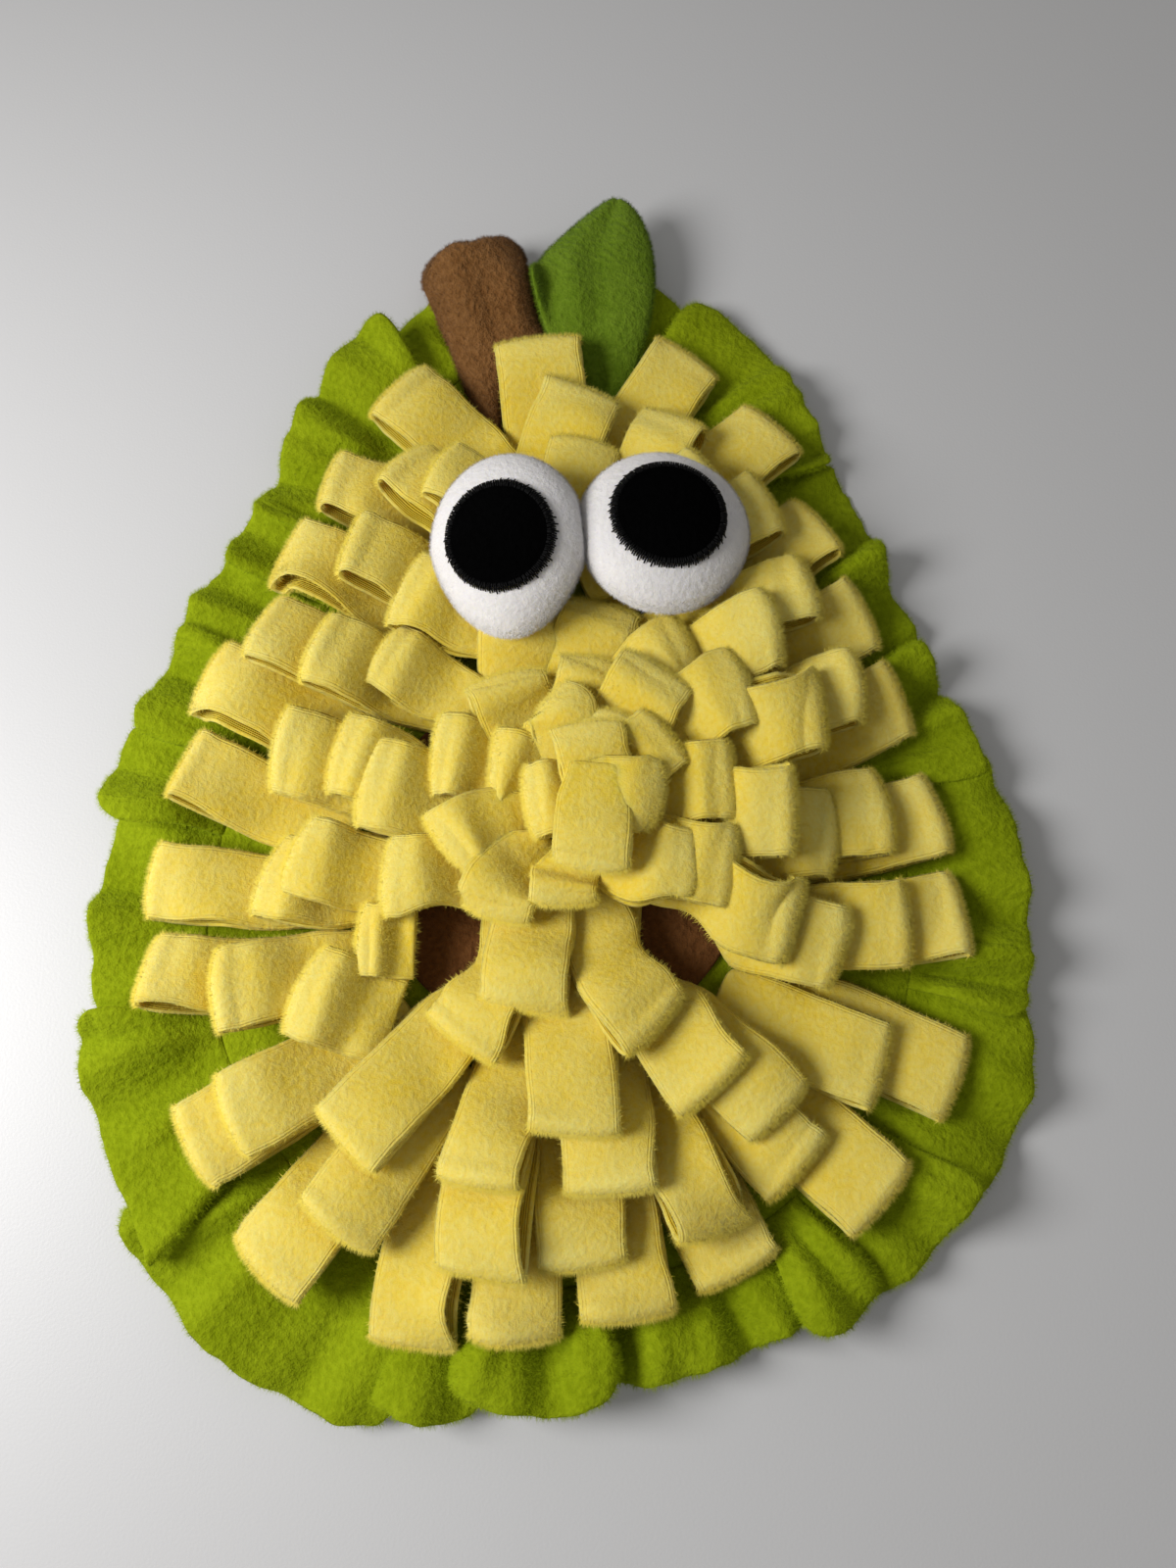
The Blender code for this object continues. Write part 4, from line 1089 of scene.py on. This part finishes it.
    hub = (lower[-1] + upper[-1]) / 2
    radius = (upper[-1] - lower[-1]) / 2
    slant = (np.linalg.norm(radius, axis=1)[:, None] + FOLD_REACH
             + (freedom * fold_slant * SIDES - ROUNDED_CORNER * SIDES**4)[:, None])
    turns = [hub - radius * math.cos(math.radians(turn))
             + slant * forward[-1] * math.sin(math.radians(turn)) for turn in FOLD_TURNS]
    inner = np.linspace(inner_edges[0], inner_edges[1], ACROSS)
    if cut:
        inner = plan[0] - (plan[1] - plan[0]) * 0.2
    low_end = np.dstack([inner[None], lower[:1, :, 2]])
    high_end = low_end.copy()
    high_end[:, :, 2] = upper[:1, :, 2]
    rows = np.concatenate([low_end, lower, np.array(turns), upper[::-1], high_end])
    # near_fold also sets the painted highlight: the strip's colour is painted paler near its fold,
    # which stands up in the light, than near its seam, which lies in shade
    near_fold = np.concatenate([[0], share**5, np.ones(len(FOLD_TURNS)), share[::-1]**5, [0]])

    top = np.concatenate([np.array(turns)[2:], upper[::-1], high_end])
    top[:, :, 2] += FLEECE / 2
    pile.stamp(top)
    return rows, near_fold


# %% [markdown]
# ## One row of loops
# All loops of a row are joined into one piece, as they share one seam. The two faces of fleece
# differ: the outside is brushed to a pile, the inside shows fine ribs. Solidify gives the sheet
# its thickness and can hand each side its own material slot.

# %% Build a row of loops
LOOSENESS = (
    # least and most: what chance gives each strip, so that no two lie alike
    (0.6, 2.4),             # how far the middle of a ply bows up
    (0, 6),                 # phase of its rumples
    (-1.5, 1.5),            # slant of its fold
    (-0.6, 1.2),            # arch of the upper ply
    (-2.2, 2.2),            # how far an edge stands up, unless LIFTED says it
)


def make_row(node, loops, lower, upper, root_width, stations):
    seam = SeamLine(lower, upper)
    points = node_points(node)
    wanted = [seam.root_for(np.array(loop[:2], float), toward(loop[2])) for loop in loops]
    pitch = min(root_width + 3, 0.999 * seam.length / len(loops))
    root_width = min(root_width, pitch - 2)
    places = spread_roots(wanted, pitch, seam.length)
    lines = {}
    for index, (x, y, heading_degrees, _, _) in enumerate(loops):
        root, leaving = seam.at(places[index])
        lines[index] = [middle_line(root, leaving, np.array([x, y], float), toward(heading_degrees),
                                    part)[0] for part in np.linspace(0, 1, 30)]
    jobs = []
    for index, loop in enumerate(loops):
        others = np.concatenate([line for other, line in lines.items() if other != index])
        ends = [seam.at(places[index] + shift) for shift in (-root_width / 2, root_width / 2)]
        jobs.append((loop, [point for point, _ in ends],
                     [point - outward * SEAM_WIDTH for point, outward in ends],
                     seam.at(places[index])[1], others))
    if node == "loops_heart":
        for *loop, root_x, root_y in MIDDLE_LOOPS:
            leaving = toward(loop[2])
            ends = [np.array([root_x, root_y]) + turn * turn_left(leaving) * loop[3] * 0.4
                    for turn in (1, -1)]
            jobs.append((loop, ends, [point - leaving * 4 for point in ends], leaving,
                         np.array([[999.0, 999.0]])))
    vertices, faces, paleness, sides, uvs, total = [], [], [], [], [], 0.0
    for loop, root_edges, inner_edges, leaving, others in jobs:
        rows, near_fold = make_loop(points, loop, root_edges, inner_edges, leaving,
                                    root_width, others, stations, chance.uniform(-3, 3),
                                    chance.uniform(*zip(*LOOSENESS)))
        base = len(vertices)
        steps = np.linalg.norm(np.diff(rows[:, ACROSS // 2], axis=0), axis=1)
        along = np.concatenate([[0], np.cumsum(steps)])
        total += along[-1]
        for row in range(len(rows)):
            for column in range(ACROSS):
                jitter = chance.uniform(-0.25, 0.25, 3)
                x, y, z = rows[row, column] + jitter
                vertices.append((x, y, float(settle(z))))
                # painted highlight: each point keeps how close it is to the fold, for the paler
                # colour painted there
                paleness.append(near_fold[row])
                sides.append(abs(SIDES[column]))
                uvs.append((SIDES[column] * loop[3] / 2 * MM, along[row] * MM))
        faces += grid_faces(len(rows), ACROSS, base)
    obj = cloth_object(node.replace("loops", "strips"), vertices, faces,
                       {"paleness": paleness, "side": sides})
    layer = obj.data.uv_layers.new(name="strip")
    corner_vertices = [corner.vertex_index for corner in obj.data.loops]
    layer.data.foreach_set("uv", np.array([uvs[v] for v in corner_vertices], np.float32).ravel())
    obj.data.materials.append(yellow_fleece)
    obj.data.materials.append(yellow_inside)
    thicken(obj, FLEECE - 0.1, material_offset=1)
    finish_piece(obj, "yellow_fleece", node)
    return obj


strip_rows = [make_row(*row) for row in LOOP_ROWS]


# %% [markdown]
# ## Eyes
# Two stuffed balls of white plush, flattened, sit on the loops and lean on each other. A sphere
# is a good start: it is scaled to the eye's half sizes, drawn narrower towards the bottom, turned
# to where the eye looks, and pressed in where it lies on the pile or against the other eye.

# %% Eye shapes
EYES = (
    # side, x, y, half_x, half_y, half_z, taper, lean_x, lean_down, radius of the pupil
    ("left", -18, 114, 31, 36, 17, 0.16, -11, 10, 21),
    ("right", 42, 121, 34, 34, 17, 0.05, 6, -3, 22),
)


def shape_eye(eye, points):
    """Points of a unit ball, scaled and tapered to the eye."""
    half_x, half_y, half_z, taper = eye[3:7]
    shaped = points * np.array([half_x, half_y, half_z])
    shaped[:, 0] *= 1 + taper * np.minimum(points[:, 1], 0)
    return shaped


def lean_eye(eye, points):
    """Turn points so that the eye's face looks where the eye looks."""
    lean_x, lean_down = math.radians(eye[7]), math.radians(eye[8])
    x, y, z = points.T
    y, z = (y * math.cos(lean_down) - z * math.sin(lean_down),
            y * math.sin(lean_down) + z * math.cos(lean_down))
    x, z = (x * math.cos(lean_x) + z * math.sin(lean_x),
            z * math.cos(lean_x) - x * math.sin(lean_x))
    return np.column_stack([x, y, z])


def press_apart(eye, points):
    other = EYES[1] if eye is EYES[0] else EYES[0]
    here, there = np.array(eye[1:3], float), np.array(other[1:3], float)
    apart = np.linalg.norm(there - here)
    across = (there - here) / apart
    limit = apart * eye[3] / (eye[3] + other[3]) - GAP
    beyond = np.maximum((points[:, :2] - here) @ across - limit, 0)
    points[:, :2] -= beyond[:, None] * across
    return points


def unit_ball():
    """Points and faces of a sphere. The operator lists its faces in another order in each run,
    and fibres are picked by that order. So each face starts at its lowest number, and the
    faces are sorted."""
    select_none()
    bpy.ops.mesh.primitive_uv_sphere_add(segments=64, ring_count=40, radius=1, location=(0, 0, 0))
    sphere = bpy.context.active_object
    mesh = sphere.data
    points = np.array([vertex.co for vertex in mesh.vertices])
    faces = []
    for polygon in mesh.polygons:
        corners = list(polygon.vertices)
        first = corners.index(min(corners))
        faces.append(tuple(corners[first:] + corners[:first]))
    bpy.data.objects.remove(sphere)
    bpy.data.meshes.remove(mesh)
    return points, sorted(faces)


def make_eye(eye):
    side, x, y = eye[:3]
    ball, faces = unit_ball()
    points = lean_eye(eye, shape_eye(eye, ball))
    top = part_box("eye_" + side)[1].z / MM
    centre = np.array([x, y, top - points[:, 2].max()])
    points = press_apart(eye, points + centre)
    bed = np.minimum(pile.crest(points[:, :2], 2) + 0.3, centre[2] - 3)
    low = ball[:, 2] < 0.1
    points[low, 2] = np.maximum(points[low, 2], bed[low])
    obj = cloth_object("eye_ball_" + side, points, faces)
    obj.data.materials.append(white_plush)
    finish_piece(obj, "white_plush", "eye_" + side)
    return obj, centre


eye_balls, eye_centres = [], {}
for eye in EYES:
    ball, eye_centres[eye[0]] = make_eye(eye)
    eye_balls.append(ball)

# %% [markdown]
# ## Pupils
# Each pupil is a disc of black velvet, sewn on with a dense satin stitch. The stitches stand up
# as a ring, side by side, and some threads end past it, which makes the ragged outline. The disc
# follows the skin of the eye; the stitches are one small closed bar each, joined to one piece.

# %% Pupils
PUPIL_RINGS = (0.0, 0.25, 0.5, 0.72, 0.86, 0.94)
STITCHES = 150
STITCH_LENGTH, STITCH_WIDTH, STITCH_HEIGHT = 3.2, 0.85, 0.8


def eye_skin(eye, across, up, out):
    """A point at a height above the skin of an eye, from its place on the eye's face."""
    half_x, half_y, half_z = eye[3:6]
    rise = math.sqrt(max(0.05, 1 - (across / half_x) ** 2 - (up / half_y) ** 2))
    normal = np.array([across / half_x**2, up / half_y**2, rise / half_z])
    point = np.array([across, up, half_z * rise]) + out * normal / np.linalg.norm(normal)
    return eye_centres[eye[0]] + lean_eye(eye, point[None, :])[0]


def round_eye(eye, reach, turn, out):
    return eye_skin(eye, reach * math.cos(turn), reach * math.sin(turn), out)


def make_pupil(eye):
    radius, count = eye[9], 96
    layers = [(ring, 1.5) for ring in PUPIL_RINGS] + [(ring, 0.3) for ring in PUPIL_RINGS[::-1]]
    points = [round_eye(eye, 0, 0, 1.5)]
    for ring, out in layers[1:-1]:
        points += [round_eye(eye, radius * ring, 2 * math.pi * step / count, out)
                   for step in range(count)]
    points.append(round_eye(eye, 0, 0, 0.3))
    faces = [(0, 1 + step, 1 + (step + 1) % count) for step in range(count)]
    faces += ring_faces(len(layers) - 2, count, 1)
    obj = cloth_object("pupil_disc_" + eye[0], points, faces)
    obj.data.materials.append(black_velvet)
    finish_piece(obj, "black_velvet", "pupil_" + eye[0])


def make_stitches(eye):
    """A ring of bars, each a little askew and of its own length."""
    radius, points, faces = eye[9], [], []
    profile = ((-0.5, 0.3), (-0.36, 0.8), (0.0, 1.0), (0.36, 0.8), (0.5, 0.3))
    for step in range(STITCHES):
        turn = 2 * math.pi * step / STITCHES
        ragged = chance.uniform(0.3, 1.3) if step % 3 == 0 else chance.uniform(0, 0.6)
        ends = (radius - STITCH_LENGTH, radius - STITCH_LENGTH * 0.75, radius - STITCH_LENGTH * 0.2,
                radius + 0.1 + ragged)
        askew = chance.uniform(-0.35, 0.35)
        base = len(points)
        for place, swell in zip(ends, (0.35, 1.0, 0.95, 0.15)):
            for side, level in profile:
                across = (side * STITCH_WIDTH * (0.6 + 0.4 * swell) + askew * (place - radius) / 3)
                points.append(round_eye(eye, place, turn + across / radius,
                                        0.35 + 1.1 * swell + STITCH_HEIGHT * level * swell))
        wide = len(profile)
        faces += grid_faces(len(ends), wide, base, columns_meet=True)
        faces.append(tuple(base + column for column in range(wide)))
        faces.append(tuple(base + (len(ends) - 1) * wide + column for column in range(wide))[::-1])
    obj = cloth_object("pupil_stitches_" + eye[0], points, faces)
    obj.data.materials.append(black_thread)
    finish_piece(obj, "black_velvet")


for make in (make_pupil, make_stitches):
    for eye in EYES:
        make(eye)


# %% [markdown]
# ## The nap that stands off the cloth
# Bump only changes how a surface is shaded; its outline stays sharp, and fleece never has a
# sharp outline. So single fibres are added as thin triangles, on the parts that can be seen
# from above. They are spread by area: each triangle of the cloth gets its share by its size.
# Each fibre shows its front to the sky, is shaded with a direction between the cloth's own and
# straight up, and casts no shadow.

# %% Grow fibres on a piece
HIDDEN_DEPTH = 3.5          # cloth that lies further under the top of the pile isn't seen
FACING_DOWN = -0.5          # nor is cloth whose normal points further down than this
# the pale cloth near folds is the painted highlight of the strips; on the frill the same share
# grows towards the outer edge
STEEP_EXTRA = 3             # steep cloth, and the pale cloth near folds and edges, gets up to
PALE_EXTRA = 3              # this many times more fibres on top of its own share
FIBRE_LENGTHS = (0.6, 1.3)  # shortest and longest on level cloth, as a share of the given length
ROOTED = 0.15               # how far a fibre starts inside the cloth
FLOOR = 0.1                 # no fibre reaches below this height


def surface_samples(obj, count):
    """Points and normals spread over what can be seen of a mesh, in millimetres."""
    mesh = obj.data
    mesh.calc_loop_triangles()
    points = np.empty(len(mesh.vertices) * 3)
    mesh.vertices.foreach_get("co", points)
    points = points.reshape(-1, 3) / MM
    corners = np.empty(len(mesh.loop_triangles) * 3, np.int32)
    mesh.loop_triangles.foreach_get("vertices", corners)
    a, b, c = (points[corners.reshape(-1, 3)[:, k]] for k in range(3))
    cross = np.cross(b - a, c - a)
    area = np.linalg.norm(cross, axis=1) / 2
    normals = cross / np.maximum(2 * area, 1e-9)[:, None]
    middle = (a + b + c) / 3
    below = middle[:, 2] < settle(pile.height(middle[:, :2])) - HIDDEN_DEPTH
    hidden = below | (normals[:, 2] < FACING_DOWN)
    area = np.where(hidden, 0, area * (1 + STEEP_EXTRA * (1 - np.abs(normals[:, 2]))))
    # the painted highlight share, read here only to grow more fibres where it is high
    if "paleness" in mesh.attributes:
        pale = np.empty(len(mesh.vertices))
        mesh.attributes["paleness"].data.foreach_get("value", pale)
        area = area * (1 + PALE_EXTRA * pale[corners.reshape(-1, 3)[:, 0]] ** 2)
    pick = chance.choice(len(area), size=count, p=area / area.sum())
    u, v = chance.uniform(size=(2, count, 1))
    flip = u + v > 1
    u, v = np.where(flip, 1 - u, u), np.where(flip, 1 - v, v)
    spots = a[pick] + u * (b[pick] - a[pick]) + v * (c[pick] - a[pick])
    return spots, normals[pick], area.sum()


def unit(vectors):
    return vectors / np.maximum(np.linalg.norm(vectors, axis=1, keepdims=True), 1e-9)


def grow_nap(name, source, count, length, width, lift, material):
    """A mesh of single fibres. lift is 0 for fibres that lie flat and 1 for upright ones."""
    spots, normals, area = surface_samples(source, count)
    wander = unit(chance.normal(size=(count, 3)))
    along = unit(normals * lift + unit(wander - normals * (wander * normals).sum(1, keepdims=True)))
    across = unit(np.cross(along, normals + 0.2 * wander))
    at_edge = 1 - np.abs(normals[:, 2:])
    reach = length * chance.uniform(*FIBRE_LENGTHS, (count, 1)) * (1 + at_edge)
    foot = spots - normals * ROOTED
    facing = np.where(np.cross(across, along)[:, 2:] < 0, -1, 1) * width / 2
    corners = np.stack([foot - across * facing, foot + across * facing,
                        foot + along * reach], axis=1).reshape(-1, 3) * MM
    corners[:, 2] = np.maximum(corners[:, 2], FLOOR * MM)
    mesh = bpy.data.meshes.new(name)
    mesh.vertices.add(3 * count)
    mesh.vertices.foreach_set("co", corners.ravel())
    mesh.loops.add(3 * count)
    mesh.loops.foreach_set("vertex_index", np.arange(3 * count))
    mesh.polygons.add(count)
    mesh.polygons.foreach_set("loop_start", np.arange(0, 3 * count, 3))
    mesh.update(calc_edges=True)
    mesh.shade_smooth()
    soft_normals = unit(0.5 * normals + np.array([0, 0, 1]))
    mesh.normals_split_custom_set(np.repeat(soft_normals, 3, axis=0).tolist())
    mesh.materials.append(material)
    obj = bpy.data.objects.new(name, mesh)
    bpy.context.collection.objects.link(obj)
    obj.visible_shadow = False
    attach(obj, "root")
    print(f"{name}: {count} fibres, {count / max(area, 1):.1f} for each square millimetre")


NAP_COUNTS = (100000, 75000, 60000, 45000, 30000, 30000)
for row, count in zip(strip_rows, NAP_COUNTS):
    grow_nap(row.name.replace("strips", "nap"), row, count, 1.35, 0.16, 1.4,
             yellow_nap)
grow_nap("nap_frill", frill_sheet, 110000, 1.35, 0.17, 1.4, lime_nap)
grow_nap("nap_stem", stem_pad, 16000, 1.2, 0.2, 1.2, stem_fleece)
grow_nap("nap_leaf", leaf_pad, 18000, 1.1, 0.17, 1.2, leaf_fleece)
for eye, ball in zip(EYES, eye_balls):
    grow_nap("nap_eye_" + eye[0], ball, 24000, 1.2, 0.15, 0.5, white_plush)


# %% [markdown]
# ## Finish
# Cloth may stand a little proud of its solid. The triangles of every added mesh are counted, in
# all and in the largest piece.

# %% Count the triangles that were added
added = [obj for obj in bpy.data.objects if obj.type == "MESH" and obj.users_collection
         and obj.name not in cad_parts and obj.name != "table"]
counts = {obj.name: sum(len(face.vertices) - 2 for face in obj.data.polygons) for obj in added}
print("triangles added:", sum(counts.values()), "the most in one piece:", max(counts.values()))
